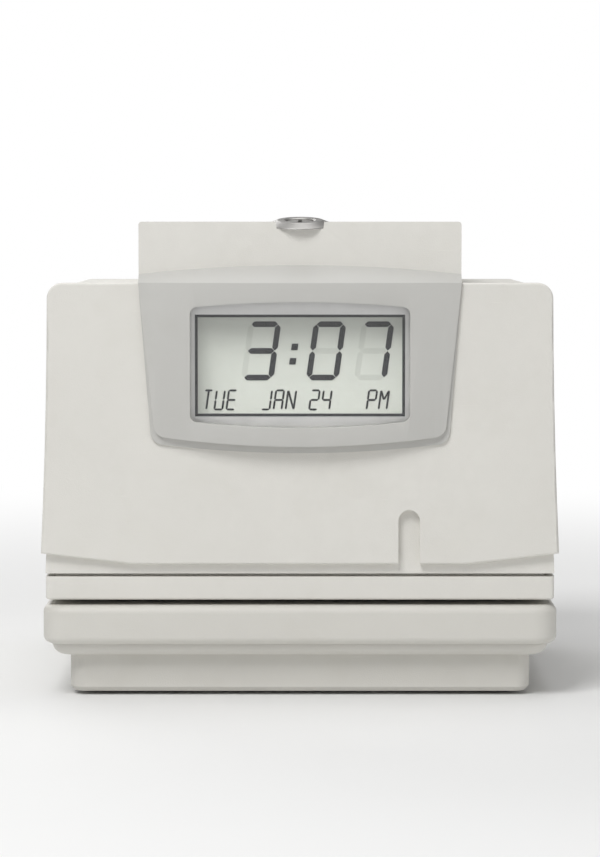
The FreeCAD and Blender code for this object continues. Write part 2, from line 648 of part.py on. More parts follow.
def make_lower_case():
    slab = round_slab(TABLE_HALF, Y_TABLE_FRONT, Y_TABLE_REAR, Z_STEP_TOP, Z_TABLE, PLAN_CORNER)
    slab = slab.makeFillet(TABLE_BULGE, level_edges(slab, Z_TABLE))
    slab = slab.makeFillet(TABLE_BULGE, level_edges(slab, Z_STEP_TOP))
    spine = round_slab(CASE_HALF, Y_SPINE, Y_CASE_REAR, Z_TABLE - WALL, Z_DECK, 1.5)
    hollow = round_slab(TABLE_HALF - WALL, Y_TABLE_FRONT + WALL, Y_TABLE_REAR - WALL,
                        Z_STEP_TOP - 1, Z_TABLE_LOW, PLAN_CORNER - WALL)
    case = fuse_all([slab, spine]).cut(hollow)
    bosses = []
    tools = []
    for x, y in base_screw_places():
        bosses.append(post(BOSS_R, x, y, Z_STEP_TOP, Z_TABLE_LOW + 0.5))
        tools.append(post(SCREW_SHANK_R + RUN_GAP, x, y, Z_STEP_TOP - 1, Z_TABLE_LOW - 3.5))
    for x, y in deck_screw_places():
        bosses.append(post(DECK_BOSS_R, x, y, Z_DECK_FLOOR - 11.0, Z_TABLE_LOW + 0.5))
        tools.append(post(SCREW_SHANK_R + RUN_GAP, x, y, Z_DECK_FLOOR - 9.5, Z_DECK + 1))
    jack_z = (Z_STEP_TOP + Z_TABLE) / 2.0
    socket = Part.makeCylinder(JACK_HALF - 0.6, 8, V(JACK_X, Y_TABLE_REAR - WALL - 1, jack_z),
                               V(0, 1, 0))
    tools.append(socket)
    tools.append(platen_block(0.2, Z_TABLE_LOW - 1, Z_TABLE + 1))
    for side in (-1, 1):
        x = side * STOP_LEG_X
        slot_front = stop_leg_front() - STOP_TRAVEL - FREE_GAP
        tools.append(block(x - STOP_LEG_HALF - FREE_GAP, x + STOP_LEG_HALF + FREE_GAP,
                           slot_front, stop_leg_front() + 3.0 + FREE_GAP,
                           Z_TABLE_LOW - 1, Z_TABLE + 1))
    return fuse_all([case] + bosses).cut(tools)


def make_power_jack():
    z = (Z_STEP_TOP + Z_TABLE) / 2.0
    rear = Y_TABLE_REAR - WALL
    body = block(JACK_X - JACK_HALF, JACK_X + JACK_HALF, rear - 12.0, rear, z - 4.8, z + 3.6)
    nose = Part.makeCylinder(JACK_HALF - 0.8, WALL - 0.2, V(JACK_X, rear, z), V(0, 1, 0))
    bore = Part.makeCylinder(JACK_R, JACK_DEPTH, V(JACK_X, rear + WALL - 0.2, z), V(0, -1, 0))
    pin = Part.makeCylinder(PIN_R, JACK_DEPTH - 1.0, V(JACK_X, rear + WALL - 0.2 - JACK_DEPTH, z),
                            V(0, 1, 0))
    return fuse_all([body, nose]).cut(bore).fuse(pin).removeSplitter()


# ---------------------------------------------------------------- throat

def platen_block(grow, z0, z1):
    """Plan of the platen, as long as the head's travel and the nozzle together."""
    left = PRINT_X - PRINT_TRAVEL - NOZZLE_HALF - 2.0
    right = PRINT_X + NOZZLE_HALF + 8.0
    return block(left - grow, right + grow, PRINT_Y - PLATEN_HALF_Y - grow,
                 PRINT_Y + PLATEN_HALF_Y + grow, z0, z1)


def make_platen_pad():
    pad = platen_block(0.0, Z_TABLE - PLATEN_DEPTH, Z_TABLE)
    long_edges = [e for e in level_edges(pad, Z_TABLE) if e.BoundBox.XLength > 10]
    return pad.makeFillet(0.6, long_edges)


def make_platen_holder():
    """A pressed steel channel under the pad, with two ears screwed to the table's underside."""
    top = Z_TABLE - PLATEN_DEPTH
    box_low = platen_block(3.0, top - SHEET, Z_TABLE_LOW)
    inside = platen_block(3.0 - SHEET, top, Z_TABLE_LOW + 1)
    ears = platen_block(3.0, Z_TABLE_LOW - SHEET, Z_TABLE_LOW)
    bounds = ears.BoundBox
    ear = block(bounds.XMin - 8.0, bounds.XMax + 8.0, PRINT_Y - 4.0, PRINT_Y + 4.0,
                Z_TABLE_LOW - SHEET, Z_TABLE_LOW)
    return fuse_all([box_low, ear]).cut(inside)


def stop_leg_front():
    """Front face of the depth stop's legs, at rest against the back of the throat."""
    return Y_SPINE - FREE_GAP - STOP_BAR / 2.0 - 1.5


def make_depth_stop():
    rear = Y_SPINE - FREE_GAP
    low = Z_TABLE + FREE_GAP
    bar = block(-STOP_HALF, STOP_HALF, rear - STOP_BAR, rear, low, low + STOP_THICK)
    front = [e for e in bar.Edges if e.BoundBox.YMax < rear - STOP_BAR + 1e-4
             and e.BoundBox.XLength < 1e-4]
    bar = bar.makeFillet(0.5, front)
    pieces = [bar]
    leg_front = stop_leg_front()
    for side in (-1, 1):
        x = side * STOP_LEG_X
        shoe_top = Z_TABLE_LOW - FREE_GAP
        pieces.append(block(x - STOP_LEG_HALF, x + STOP_LEG_HALF, leg_front, leg_front + 3.0,
                            shoe_top - 1.0, low + 0.5))
        pieces.append(block(x - 5.0, x + 5.0, leg_front - 2.0, leg_front + 5.0,
                            shoe_top - 2.5, shoe_top))
    return fuse_all(pieces)


def deck_window():
    """Opening over the print line, wide enough for the ribbon arms and the head's nozzle."""
    return block(CARTRIDGE_LEFT - 1.5, CARTRIDGE_RIGHT + 1.5, PRINT_Y - 7.0, PRINT_Y + 6.5,
                 Z_DECK - 1, Z_DECK_FLOOR + 1)


def make_throat_deck():
    half = CASE_HALF
    deck = round_slab(half, Y_CASE_FRONT, Y_CASE_REAR, Z_DECK, Z_RIM, 1.5)
    low = [e for e in level_edges(deck, Z_DECK) if e.BoundBox.YMin < Y_SPINE]
    deck = deck.makeFillet(THROAT_ROUND, low)
    lip_inset = WALL + FREE_GAP
    lip = round_slab(half - lip_inset, Y_CASE_FRONT + lip_inset, Y_CASE_REAR - lip_inset,
                     Z_RIM - 1.0, Z_LIP, 1.0)
    inner = lip_inset + 1.6
    hollow = round_slab(half - inner, Y_CASE_FRONT + inner, Y_CASE_REAR - inner,
                        Z_DECK_FLOOR, Z_LIP + 1, 1.0)
    deck = fuse_all([deck, lip]).cut(hollow)
    guides = []
    for side in (-1, 1):
        low_x, high_x = sorted((side * (BOARD_HALF - 1.0), side * (BOARD_HALF + 2.5)))
        guides.append(block(low_x, high_x, BOARD_Y - 2.0, BOARD_Y + PCB + 2.0,
                            Z_DECK_FLOOR - 0.5, Z_DECK_FLOOR + 30.0))
    deck = fuse_all([deck] + guides)
    tools = [deck_window()]
    tools.append(block(-BOARD_HALF - 0.1, BOARD_HALF + 0.1, BOARD_Y - 0.1, BOARD_Y + PCB + 0.1,
                       Z_DECK_FLOOR, Z_DECK_FLOOR + 40.0))
    swing = (TRIGGER_Z - TRIGGER_TIP) * math.sin(math.radians(TRIGGER_SWEEP))
    tools.append(block(TRIGGER_X - TRIGGER_HALF - 0.6, TRIGGER_X + TRIGGER_HALF + 0.6,
                       TRIGGER_Y - 2.0, TRIGGER_Y + swing + 2.0, Z_DECK - 1, Z_DECK_FLOOR + 1))
    for x, y in deck_screw_places():
        tools.append(post(SCREW_SHANK_R + 0.2, x, y, Z_DECK - 1, Z_DECK_FLOOR + 1))
    return deck.cut(tools)


def make_ribbon_mask():
    """A thin steel mask under the ribbon, with one slot for the print wires."""
    w = deck_window().BoundBox
    plate = block(w.XMin + 0.2, w.XMax - 0.2, w.YMin + 0.2, w.YMax - 0.2, Z_DECK,
                  Z_DECK + MASK_THICK)
    slot = platen_block(-1.5, Z_DECK - 1, Z_DECK + 2)
    return plate.cut(slot)


# ---------------------------------------------------------------- mechanism frame

def plate_profile(x, left):
    """Side plate outline in the YZ plane. The left plate rises behind to carry the motor."""
    foot = Z_DECK_FLOOR
    start = V(x, PLATE_FRONT, foot)
    corner = 6.0
    if left:
        return closed_face(start, [
            V(x, PLATE_FRONT, Z_PLATE_TOP - corner),
            (V(x, PLATE_FRONT + corner * 0.3, Z_PLATE_TOP - corner * 0.3),
             V(x, PLATE_FRONT + corner, Z_PLATE_TOP)),
            V(x, MOTOR_Y - MOTOR_R - 4.0, Z_PLATE_TOP),
            (V(x, MOTOR_Y, MOTOR_Z + MOTOR_R + 2.0), V(x, MOTOR_Y + MOTOR_R + 3.0, MOTOR_Z)),
            V(x, PLATE_REAR, foot + 20.0),
            V(x, PLATE_REAR, foot),
            start,
        ])
    return closed_face(start, [
        V(x, PLATE_FRONT, Z_PLATE_TOP - corner),
        (V(x, PLATE_FRONT + corner * 0.3, Z_PLATE_TOP - corner * 0.3),
         V(x, PLATE_FRONT + corner, Z_PLATE_TOP)),
        V(x, PLATE_REAR - 20.0, Z_PLATE_TOP),
        V(x, PLATE_REAR, Z_PLATE_TOP - 16.0),
        V(x, PLATE_REAR, foot),
        start,
    ])


def plate_holes(x0, x1, left):
    """Holes for the rods, the screw bushing and, on the left, the motor boss."""
    holes = [
        cross_bar(ROD_R + RUN_GAP, x0, x1, FRONT_ROD_Y, ROD_Z),
        cross_bar(ROD_R + RUN_GAP, x0, x1, REAR_ROD_Y, ROD_Z),
        cross_bar(BUSHING_R, x0, x1, SCREW_Y, SCREW_Z),
        cross_bar(5.0, x0, x1, FRONT_ROD_Y - 16.0, ROD_Z - 12.0),
    ]
    if left:
        holes.append(cross_bar(MOTOR_BOSS_R, x0, x1, MOTOR_Y, MOTOR_Z))
        holes += [cross_bar(1.0 + RUN_GAP, x0, x1, y, z) for y, z in motor_screw_places()]
    return holes


def motor_screw_places():
    """Two screw places on the motor's flange, on either side of its axis."""
    reach = MOTOR_R - 3.5
    return [(MOTOR_Y + side * 0.5 * reach, MOTOR_Z + side * 0.85 * reach) for side in (-1, 1)]


def make_side_plate(left):
    x = LEFT_PLATE_X if left else RIGHT_PLATE_X
    out = -SHEET if left else SHEET
    plate = plate_profile(x, left).extrude(V(out, 0, 0))
    flange_y = (PLATE_FRONT + 2.0, PLATE_FRONT + 9.0)
    flange_x = sorted((x + out, x - out * 2.5))
    flanges = [block(flange_x[0], flange_x[1], flange_y[0], flange_y[1], Z_DECK_FLOOR,
                     Z_DECK_FLOOR + SHEET)]
    flanges.append(block(flange_x[0], flange_x[1], PLATE_REAR - 8.0, PLATE_REAR, Z_DECK_FLOOR,
                         Z_DECK_FLOOR + SHEET))
    return fuse_all([plate] + flanges).cut(plate_holes(x - 3, x + 3, left))


def make_tie_bar():
    """A steel channel that joins the side plates behind the rods."""
    y = PLATE_REAR - 4.0
    web = block(LEFT_PLATE_X, RIGHT_PLATE_X, y - SHEET, y, Z_DECK_FLOOR + 6.0, Z_DECK_FLOOR + 22.0)
    lip = block(LEFT_PLATE_X, RIGHT_PLATE_X, y - SHEET, y + 4.0, Z_DECK_FLOOR + 20.5,
                Z_DECK_FLOOR + 22.0)
    return fuse_all([web, lip])


def make_guide_rod(y):
    rod = cross_bar(ROD_R, LEFT_PLATE_X - SHEET - 0.8, RIGHT_PLATE_X + SHEET + 3.0, y, ROD_Z)
    ends = rod.BoundBox
    groove_x = RIGHT_PLATE_X + SHEET + FREE_GAP
    ring = cross_bar(ROD_R + 1, groove_x, groove_x + 1.0, y, ROD_Z).cut(
        cross_bar(ROD_R - 0.8, groove_x, groove_x + 1.0, y, ROD_Z))
    return rod.cut(ring) if ends.XMax > groove_x else rod


def make_rod_clips():
    """E-clips that snap into the rods' grooves outside the right plate."""
    clips = []
    x = RIGHT_PLATE_X + SHEET + FREE_GAP + 0.1
    for y in (FRONT_ROD_Y, REAR_ROD_Y):
        clip = cross_bar(ROD_R + 2.2, x, x + 0.8, y, ROD_Z)
        clip = clip.cut([cross_bar(ROD_R - 0.75, x - 1, x + 2, y, ROD_Z),
                         block(x - 1, x + 2, y - ROD_R + 0.8, y + ROD_R - 0.8, ROD_Z - 8, ROD_Z)])
        clips.append(clip)
    return Part.makeCompound(clips)


def make_screw_bushings():
    """Flanged bronze bushings for the lead screw, pressed into both plates."""
    bushings = []
    for inner, out in ((LEFT_PLATE_X, -1), (RIGHT_PLATE_X, 1)):
        x0, x1 = sorted((inner - out * 1.5, inner + out * SHEET))
        body = cross_bar(BUSHING_R, x0, x1, SCREW_Y, SCREW_Z)
        f0, f1 = sorted((inner - out * 1.5, inner))
        flange = cross_bar(BUSHING_R + 1.5, f0, f1, SCREW_Y, SCREW_Z)
        bore = cross_bar(JOURNAL_R + RUN_GAP, x0 - 1, x1 + 1, SCREW_Y, SCREW_Z)
        bushings.append(fuse_all([body, flange]).cut(bore))
    return Part.makeCompound(bushings)


def make_feed_motor():
    """Stepper motor on the inner face of the left plate, with a flange, a boss and a rear cap."""
    x = LEFT_PLATE_X
    can = cross_bar(MOTOR_R, x + 1.0, x + MOTOR_LENGTH, MOTOR_Y, MOTOR_Z)
    can = can.makeChamfer(CAN_BEVEL, [e for e in can.Edges
                                      if e.BoundBox.XMin > x + MOTOR_LENGTH - 1e-3])
    flange = cross_bar(MOTOR_R, x, x + 1.0, MOTOR_Y, MOTOR_Z)
    boss = cross_bar(MOTOR_BOSS_R - RUN_GAP, x - SHEET - 0.3, x, MOTOR_Y, MOTOR_Z)
    cap = cross_bar(6.0, x + MOTOR_LENGTH, x + MOTOR_LENGTH + 1.5, MOTOR_Y, MOTOR_Z)
    bore = cross_bar(MOTOR_SHAFT_R + RUN_GAP, x - 4, x + 12.0, MOTOR_Y, MOTOR_Z)
    plug = block(x + 6.0, x + 18.0, MOTOR_Y + MOTOR_R - 2.5, MOTOR_Y + MOTOR_R + 3.0,
                 MOTOR_Z - 7.0, MOTOR_Z + 1.0)
    holes = [cross_bar(1.0 + RUN_GAP, x - 4, x + 4.0, y, z) for y, z in motor_screw_places()]
    return fuse_all([can, flange, boss, cap, plug]).cut([bore] + holes)


def make_small_screws():
    """Two screws that hold the motor."""
    screws = []
    x = LEFT_PLATE_X - SHEET
    for y, z in motor_screw_places():
        shank = cross_bar(1.0, x, x + 4.5, y, z)
        screws.append(shank.fuse(cross_bar(1.9, x - 0.8, x, y, z)).removeSplitter())
    return Part.makeCompound(screws)


def make_motor_shaft():
    return cross_bar(MOTOR_SHAFT_R, GEAR_X - GEAR_WIDTH - 0.5, LEFT_PLATE_X + 11.5, MOTOR_Y, MOTOR_Z)


def gear_at_motor():
    """The pinion stands with a gap towards the lead screw, so it starts in mesh."""
    to_screw = MOTOR_LIFT + 180.0
    half_pitch = 180.0 / MOTOR_TEETH
    gear = involute_gear(MOTOR_TEETH, GEAR_WIDTH, MOTOR_SHAFT_R)
    return lay_along_x(gear, GEAR_X - GEAR_WIDTH, MOTOR_Y, MOTOR_Z, to_screw + half_pitch)


def make_screw_gear():
    """The big wheel: its outer side is recessed to a web with round lightening holes."""
    gear = involute_gear(SCREW_TEETH, GEAR_WIDTH, JOURNAL_R)
    pitch = GEAR_MODULE * SCREW_TEETH / 2.0
    rim_r = pitch - GEAR_RIM
    hub_r = JOURNAL_R + GEAR_HUB
    recess = Part.makeCylinder(rim_r, GEAR_RECESS).cut(Part.makeCylinder(hub_r, GEAR_RECESS))
    holes = []
    for index in range(GEAR_HOLES):
        angle = 2 * math.pi * index / GEAR_HOLES
        reach = (rim_r + hub_r) / 2.0
        centre = V(reach * math.cos(angle), reach * math.sin(angle), 0)
        holes.append(Part.makeCylinder(GEAR_HOLE_R, GEAR_WIDTH, centre))
    gear = gear.cut([recess] + holes)
    return lay_along_x(gear, GEAR_X - GEAR_WIDTH, SCREW_Y, SCREW_Z, MOTOR_LIFT)


def make_lead_screw():
    """A traverse screw between journals. Its spiral groove is cut by the finishing step."""
    body = cross_bar(SCREW_R, LEFT_PLATE_X + 2.0, RIGHT_PLATE_X - 2.0, SCREW_Y, SCREW_Z)
    left = cross_bar(JOURNAL_R, GEAR_X - GEAR_WIDTH - 0.5, LEFT_PLATE_X + 2.0, SCREW_Y, SCREW_Z)
    right = cross_bar(JOURNAL_R, RIGHT_PLATE_X - 2.0, RIGHT_PLATE_X + 3.0, SCREW_Y, SCREW_Z)
    return fuse_all([body, left, right])


# ---------------------------------------------------------------- carriage

def make_carriage():
    left = PRINT_X - CARRIAGE_HALF
    right = PRINT_X + CARRIAGE_HALF
    body = block(left, right, FRONT_ROD_Y - 8.0, REAR_ROD_Y + 6.0, ROD_Z - 5.0, ROD_Z + 8.0)
    front = block(left + 1.0, right - 1.0, FRONT_ROD_Y - 10.5, FRONT_ROD_Y - 7.5,
                  ROD_Z - 16.0, ROD_Z + 9.0)
    flag_tip = (right + SENSOR_CLEAR + RIGHT_PLATE_X - SENSOR_BACK) / 2.0
    flag = block(right - 1.0, flag_tip, REAR_ROD_Y - 2.4, REAR_ROD_Y - 1.6,
                 ROD_Z + 4.5, ROD_Z + 9.5)
    body = fuse_all([body, front, flag])
    rear_slot = block(left - 1, right + 1, REAR_ROD_Y - 3.0, REAR_ROD_Y + 8.0,
                      ROD_Z - ROD_R - RUN_GAP, ROD_Z + ROD_R + RUN_GAP)
    rear_slot = rear_slot.cut(block(left - 2, right + 2, REAR_ROD_Y - 4, REAR_ROD_Y - ROD_R - 0.1,
                                    ROD_Z - 9, ROD_Z + 9))
    tools = [
        cross_bar(ROD_R + 1.5, left - 1, right + 1, FRONT_ROD_Y, ROD_Z),
        cross_bar(SCREW_R + 1.0, left - 1, right + 1, SCREW_Y, SCREW_Z),
        rear_slot,
        block(PRINT_X - 4.1, PRINT_X + 4.1, SCREW_Y - 5.6, SCREW_Y + 5.6, SCREW_Z, ROD_Z + 9.0),
    ]
    return body.cut(tools)


def make_carriage_bushings():
    bushings = []
    for side in (-1, 1):
        outer = PRINT_X + side * CARRIAGE_HALF
        x0, x1 = sorted((outer, outer - side * 7.0))
        ring = cross_bar(ROD_R + 1.5, x0, x1, FRONT_ROD_Y, ROD_Z)
        bushings.append(ring.cut(cross_bar(ROD_R + RUN_GAP, x0 - 1, x1 + 1, FRONT_ROD_Y, ROD_Z)))
    return Part.makeCompound(bushings)


def make_screw_follower():
    """A nut half that drops into the carriage and rides over the lead screw."""
    nut = block(PRINT_X - 4.0, PRINT_X + 4.0, SCREW_Y - 5.5, SCREW_Y + 5.5, SCREW_Z + 0.5,
                ROD_Z + 9.0)
    return nut.cut(cross_bar(SCREW_R + 0.08, PRINT_X - 6, PRINT_X + 6, SCREW_Y, SCREW_Z))


def make_print_head():
    """A wire dot-matrix head: finned coil body above, a nozzle that tapers down to the ribbon."""
    back = FRONT_ROD_Y - 10.5
    front = back - HEAD_LONG
    body = block(PRINT_X - HEAD_HALF, PRINT_X + HEAD_HALF, front, back, ROD_Z - 14.0, ROD_Z + 5.0)
    upright = [e for e in body.Edges if e.BoundBox.ZLength > 10]
    body = body.makeChamfer(HEAD_CORNER, upright)
    fins = []
    for index in range(4):
        z = ROD_Z - 10.0 + 4.0 * index
        ring = block(PRINT_X - 20, PRINT_X + 20, front - 5, back + 5, z, z + 1.6)
        core = block(PRINT_X - HEAD_HALF + 1.2, PRINT_X + HEAD_HALF - 1.2, front + 1.2, back + 5,
                     z, z + 1.6)
        fins.append(ring.cut(core))
    top = profile_ring(PRINT_X, HEAD_HALF - 3.0, PRINT_Y - 4.5, PRINT_Y + 3.0, ROD_Z - 14.0)
    tip = profile_ring(PRINT_X, NOZZLE_HALF, PRINT_Y - 2.0, PRINT_Y + 2.0, Z_NOZZLE + 2.0)
    nozzle = Part.makeLoft([top, tip], True)
    nib = block(PRINT_X - NOZZLE_HALF, PRINT_X + NOZZLE_HALF, PRINT_Y - 2.0, PRINT_Y + 2.0,
                Z_NOZZLE, Z_NOZZLE + 2.0)
    return fuse_all([body.cut(fins), nozzle, nib])


def profile_ring(x, half, y0, y1, z):
    """A flat rectangular wire."""
    points = [V(x - half, y0, z), V(x + half, y0, z), V(x + half, y1, z), V(x - half, y1, z)]
    return Part.makePolygon(points + [points[0]])


# ---------------------------------------------------------------- ribbon

def make_ribbon_cartridge():
    middle = (CARTRIDGE_LEFT + CARTRIDGE_RIGHT) / 2.0
    half = (CARTRIDGE_RIGHT - CARTRIDGE_LEFT) / 2.0
    body = round_slab(half, CARTRIDGE_FRONT, CARTRIDGE_REAR, Z_CARTRIDGE, Z_CARTRIDGE_TOP, 4.0, middle)
    body = body.makeChamfer(CAN_BEVEL, level_edges(body, Z_CARTRIDGE_TOP))
    pieces = [body]
    for x in (CARTRIDGE_LEFT, CARTRIDGE_RIGHT - ARM_WIDTH):
        pieces.append(block(x, x + ARM_WIDTH, PRINT_Y - 5.5, CARTRIDGE_FRONT + 5.0,
                            Z_CARTRIDGE, Z_CARTRIDGE + 9.0))
        pieces.append(block(x, x + ARM_WIDTH, PRINT_Y - 5.5, PRINT_Y + 4.5,
                            Z_DECK + 0.5, Z_CARTRIDGE + 1.0))
    feet = [post(3.0, x, y, Z_DECK_FLOOR, Z_CARTRIDGE + 1.0)
            for x in (CARTRIDGE_LEFT + 8.0, CARTRIDGE_RIGHT - 8.0)
            for y in (CARTRIDGE_REAR - 6.0, CARTRIDGE_FRONT + 8.0)]
    cartridge = fuse_all(pieces + feet)
    bore = post(2.0 + RUN_GAP, SPINDLE_X, SPINDLE_Y, Z_CARTRIDGE + 2.0, Z_CARTRIDGE_TOP + 1)
    return cartridge.cut(bore)


def make_ink_ribbon():
    """The inked band between the arms, under the nozzle."""
    z = Z_DECK + 0.5 - RIBBON_THICK
    half = RIBBON_WIDTH / 2.0
    return block(CARTRIDGE_LEFT + 0.5, CARTRIDGE_RIGHT - 0.5, PRINT_Y - half, PRINT_Y + half,
                 z, z + RIBBON_THICK)


def make_ribbon_spindle():
    """The spindle that turns the ribbon roller, with a fluted knob to take up slack by hand."""
    stem = post(2.0, SPINDLE_X, SPINDLE_Y, Z_CARTRIDGE + 2.2, Z_RIBBON_GEAR + RIBBON_GEAR_WIDTH)
    low = Z_RIBBON_GEAR + RIBBON_GEAR_WIDTH
    knob = post(KNOB_R, SPINDLE_X, SPINDLE_Y, low, ROD_Z - 5.0 - 0.6)
    flutes = []
    for index in range(10):
        angle = math.radians(36 * index)
        flutes.append(post(1.1, SPINDLE_X + (KNOB_R + 0.4) * math.cos(angle),
                           SPINDLE_Y + (KNOB_R + 0.4) * math.sin(angle), low - 1, low + 8))
    return fuse_all([stem, knob.cut(flutes)])


def make_ribbon_gear():
    gear = involute_gear(RIBBON_TEETH, RIBBON_GEAR_WIDTH, 2.0)
    gear.rotate(V(0, 0, 0), V(0, 0, 1), 180.0 if RIBBON_TEETH % 2 == 0 else 0.0)
    gear.translate(V(SPINDLE_X, SPINDLE_Y, Z_RIBBON_GEAR))
    return gear


def make_ribbon_motor():
    z = Z_DECK_FLOOR
    can = post(RIBBON_MOTOR_R, RIBBON_MOTOR_X, SPINDLE_Y, z, z + RIBBON_MOTOR_HEIGHT)
    can = can.makeChamfer(CAN_BEVEL, level_edges(can, z + RIBBON_MOTOR_HEIGHT))
    boss = post(3.5, RIBBON_MOTOR_X, SPINDLE_Y, z + RIBBON_MOTOR_HEIGHT - 0.5,
                z + RIBBON_MOTOR_HEIGHT + 1.0)
    bore = post(1.0 + RUN_GAP, RIBBON_MOTOR_X, SPINDLE_Y, z + 6.0, z + 20.0)
    return fuse_all([can, boss]).cut(bore)


def make_ribbon_pinion():
    """Pinion and shaft in one, with a gap towards the ribbon gear."""
    gear = involute_gear(RIBBON_MOTOR_TEETH, RIBBON_GEAR_WIDTH, 0.9)
    gear.rotate(V(0, 0, 0), V(0, 0, 1), 180.0 / RIBBON_MOTOR_TEETH)
    gear.translate(V(RIBBON_MOTOR_X, SPINDLE_Y, Z_RIBBON_GEAR))
    shaft = post(1.0, RIBBON_MOTOR_X, SPINDLE_Y, Z_DECK_FLOOR + 6.5,
                 Z_RIBBON_GEAR + RIBBON_GEAR_WIDTH + 1.0)
    return fuse_all([gear, shaft])


# ---------------------------------------------------------------- paper trigger

def make_trigger_lever():
    """A two-armed lever: its finger hangs across the throat, its upper arm works the switch."""
    x0 = TRIGGER_X - TRIGGER_HALF
    hub = cross_bar(3.0, x0, x0 + 2 * TRIGGER_HALF, TRIGGER_Y, TRIGGER_Z)
    finger = closed_face(V(x0, TRIGGER_Y - 1.6, TRIGGER_Z), [
        V(x0, TRIGGER_Y - 1.1, TRIGGER_TIP + 1.1),
        (V(x0, TRIGGER_Y, TRIGGER_TIP), V(x0, TRIGGER_Y + 1.1, TRIGGER_TIP + 1.1)),
        V(x0, TRIGGER_Y + 1.6, TRIGGER_Z),
        V(x0, TRIGGER_Y - 1.6, TRIGGER_Z),
    ]).extrude(V(2 * TRIGGER_HALF, 0, 0))
    arm = block(x0, x0 + 2 * TRIGGER_HALF, TRIGGER_Y - 1.2, TRIGGER_Y + 1.2, TRIGGER_Z,
                TRIGGER_Z + 9.0)
    bore = cross_bar(PIN_R + RUN_GAP, x0 - 1, x0 + 5, TRIGGER_Y, TRIGGER_Z)
    return fuse_all([hub, finger, arm]).cut(bore)


def make_trigger_bracket():
    """A folded steel bracket: two cheeks on a foot either side of the lever."""
    cheeks = []
    for side in (-1, 1):
        inner = TRIGGER_X + side * (TRIGGER_HALF + 0.4)
        x0, x1 = sorted((inner, inner + side * 0.8))
        cheeks.append(block(x0, x1, TRIGGER_Y - 3.0, TRIGGER_Y + 3.0, Z_DECK_FLOOR,
                            TRIGGER_Z + 2.6))
    low = TRIGGER_X - TRIGGER_HALF - 1.2
    high = TRIGGER_X + TRIGGER_HALF + 1.2
    foot = block(low, high, TRIGGER_Y - 10.0, TRIGGER_Y - 2.6, Z_DECK_FLOOR, Z_DECK_FLOOR + 0.8)
    hole = cross_bar(PIN_R + 0.02, low - 1, high + 1, TRIGGER_Y, TRIGGER_Z)
    return fuse_all(cheeks + [foot]).cut(hole)


def make_trigger_pin():
    reach = TRIGGER_HALF + 1.6
    return cross_bar(PIN_R, TRIGGER_X - reach, TRIGGER_X + reach, TRIGGER_Y, TRIGGER_Z)


def make_trigger_switch():
    """A micro switch in front of the upper arm, on two posts."""
    face = TRIGGER_Y - 6.6
    body = block(TRIGGER_X - 2.6, TRIGGER_X + 2.6, face - 6.0, face, TRIGGER_Z + 1.0,
                 TRIGGER_Z + 12.0)
    leg = block(TRIGGER_X - 1.2, TRIGGER_X + 1.2, face - 4.6, face - 1.4, Z_DECK_FLOOR + 0.8,
                TRIGGER_Z + 1.5)
    return fuse_all([body, leg])


def make_home_sensor():
    """A slotted light gate on the right plate. The carriage's flag stands in it at home."""
    x0 = PRINT_X + CARRIAGE_HALF + SENSOR_CLEAR
    body = block(x0, RIGHT_PLATE_X, REAR_ROD_Y - 5.0, REAR_ROD_Y + 2.0, ROD_Z + 4.0, ROD_Z + 12.0)
    slot = block(x0 - 1.0, RIGHT_PLATE_X - SENSOR_BACK, REAR_ROD_Y - 2.9, REAR_ROD_Y - 1.1,
                 ROD_Z + 3.0, ROD_Z + 13.0)
    return body.cut(slot)


# ---------------------------------------------------------------- display and electrics

def make_lcd_frame():
    """A pressed metal frame round the display glass."""
    outer = block(-LCD_HALF - LCD_RIM, LCD_HALF + LCD_RIM, Y_LCD, Y_DISPLAY_BOARD,
                  Z_LCD_LOW - LCD_RIM, Z_LCD_TOP + LCD_RIM)
    land = LCD_RIM - LCD_SHEET
    inner = block(-LCD_HALF - land, LCD_HALF + land, Y_LCD + LCD_LIP, Y_DISPLAY_BOARD + 1,
                  Z_LCD_LOW - land, Z_LCD_TOP + land)
    view = block(-LCD_HALF, LCD_HALF, Y_LCD - 1, Y_DISPLAY_BOARD, Z_LCD_LOW, Z_LCD_TOP)
    return outer.cut([inner, view])


def make_lcd_module():
    land = LCD_RIM - LCD_SHEET - LCD_FIT
    shelf = land - LCD_BACK_INSET
    glass = block(-LCD_HALF - land, LCD_HALF + land, Y_LCD + LCD_LIP, Y_LCD + LCD_LIP + LCD_GLASS,
                  Z_LCD_LOW - land, Z_LCD_TOP + land)
    back = block(-LCD_HALF - shelf, LCD_HALF + shelf, Y_LCD + LCD_LIP + LCD_GLASS, Y_DISPLAY_BOARD,
                 Z_LCD_LOW - shelf, Z_LCD_TOP + shelf)
    return fuse_all([glass, back])


def make_display_board():
    return block(-DISPLAY_BOARD_HALF, DISPLAY_BOARD_HALF, Y_DISPLAY_BOARD, Y_BRACKET,
                 BUTTON_Z - SWITCH_HALF - 2.0, Z_LCD_TOP + LCD_RIM + 0.5)


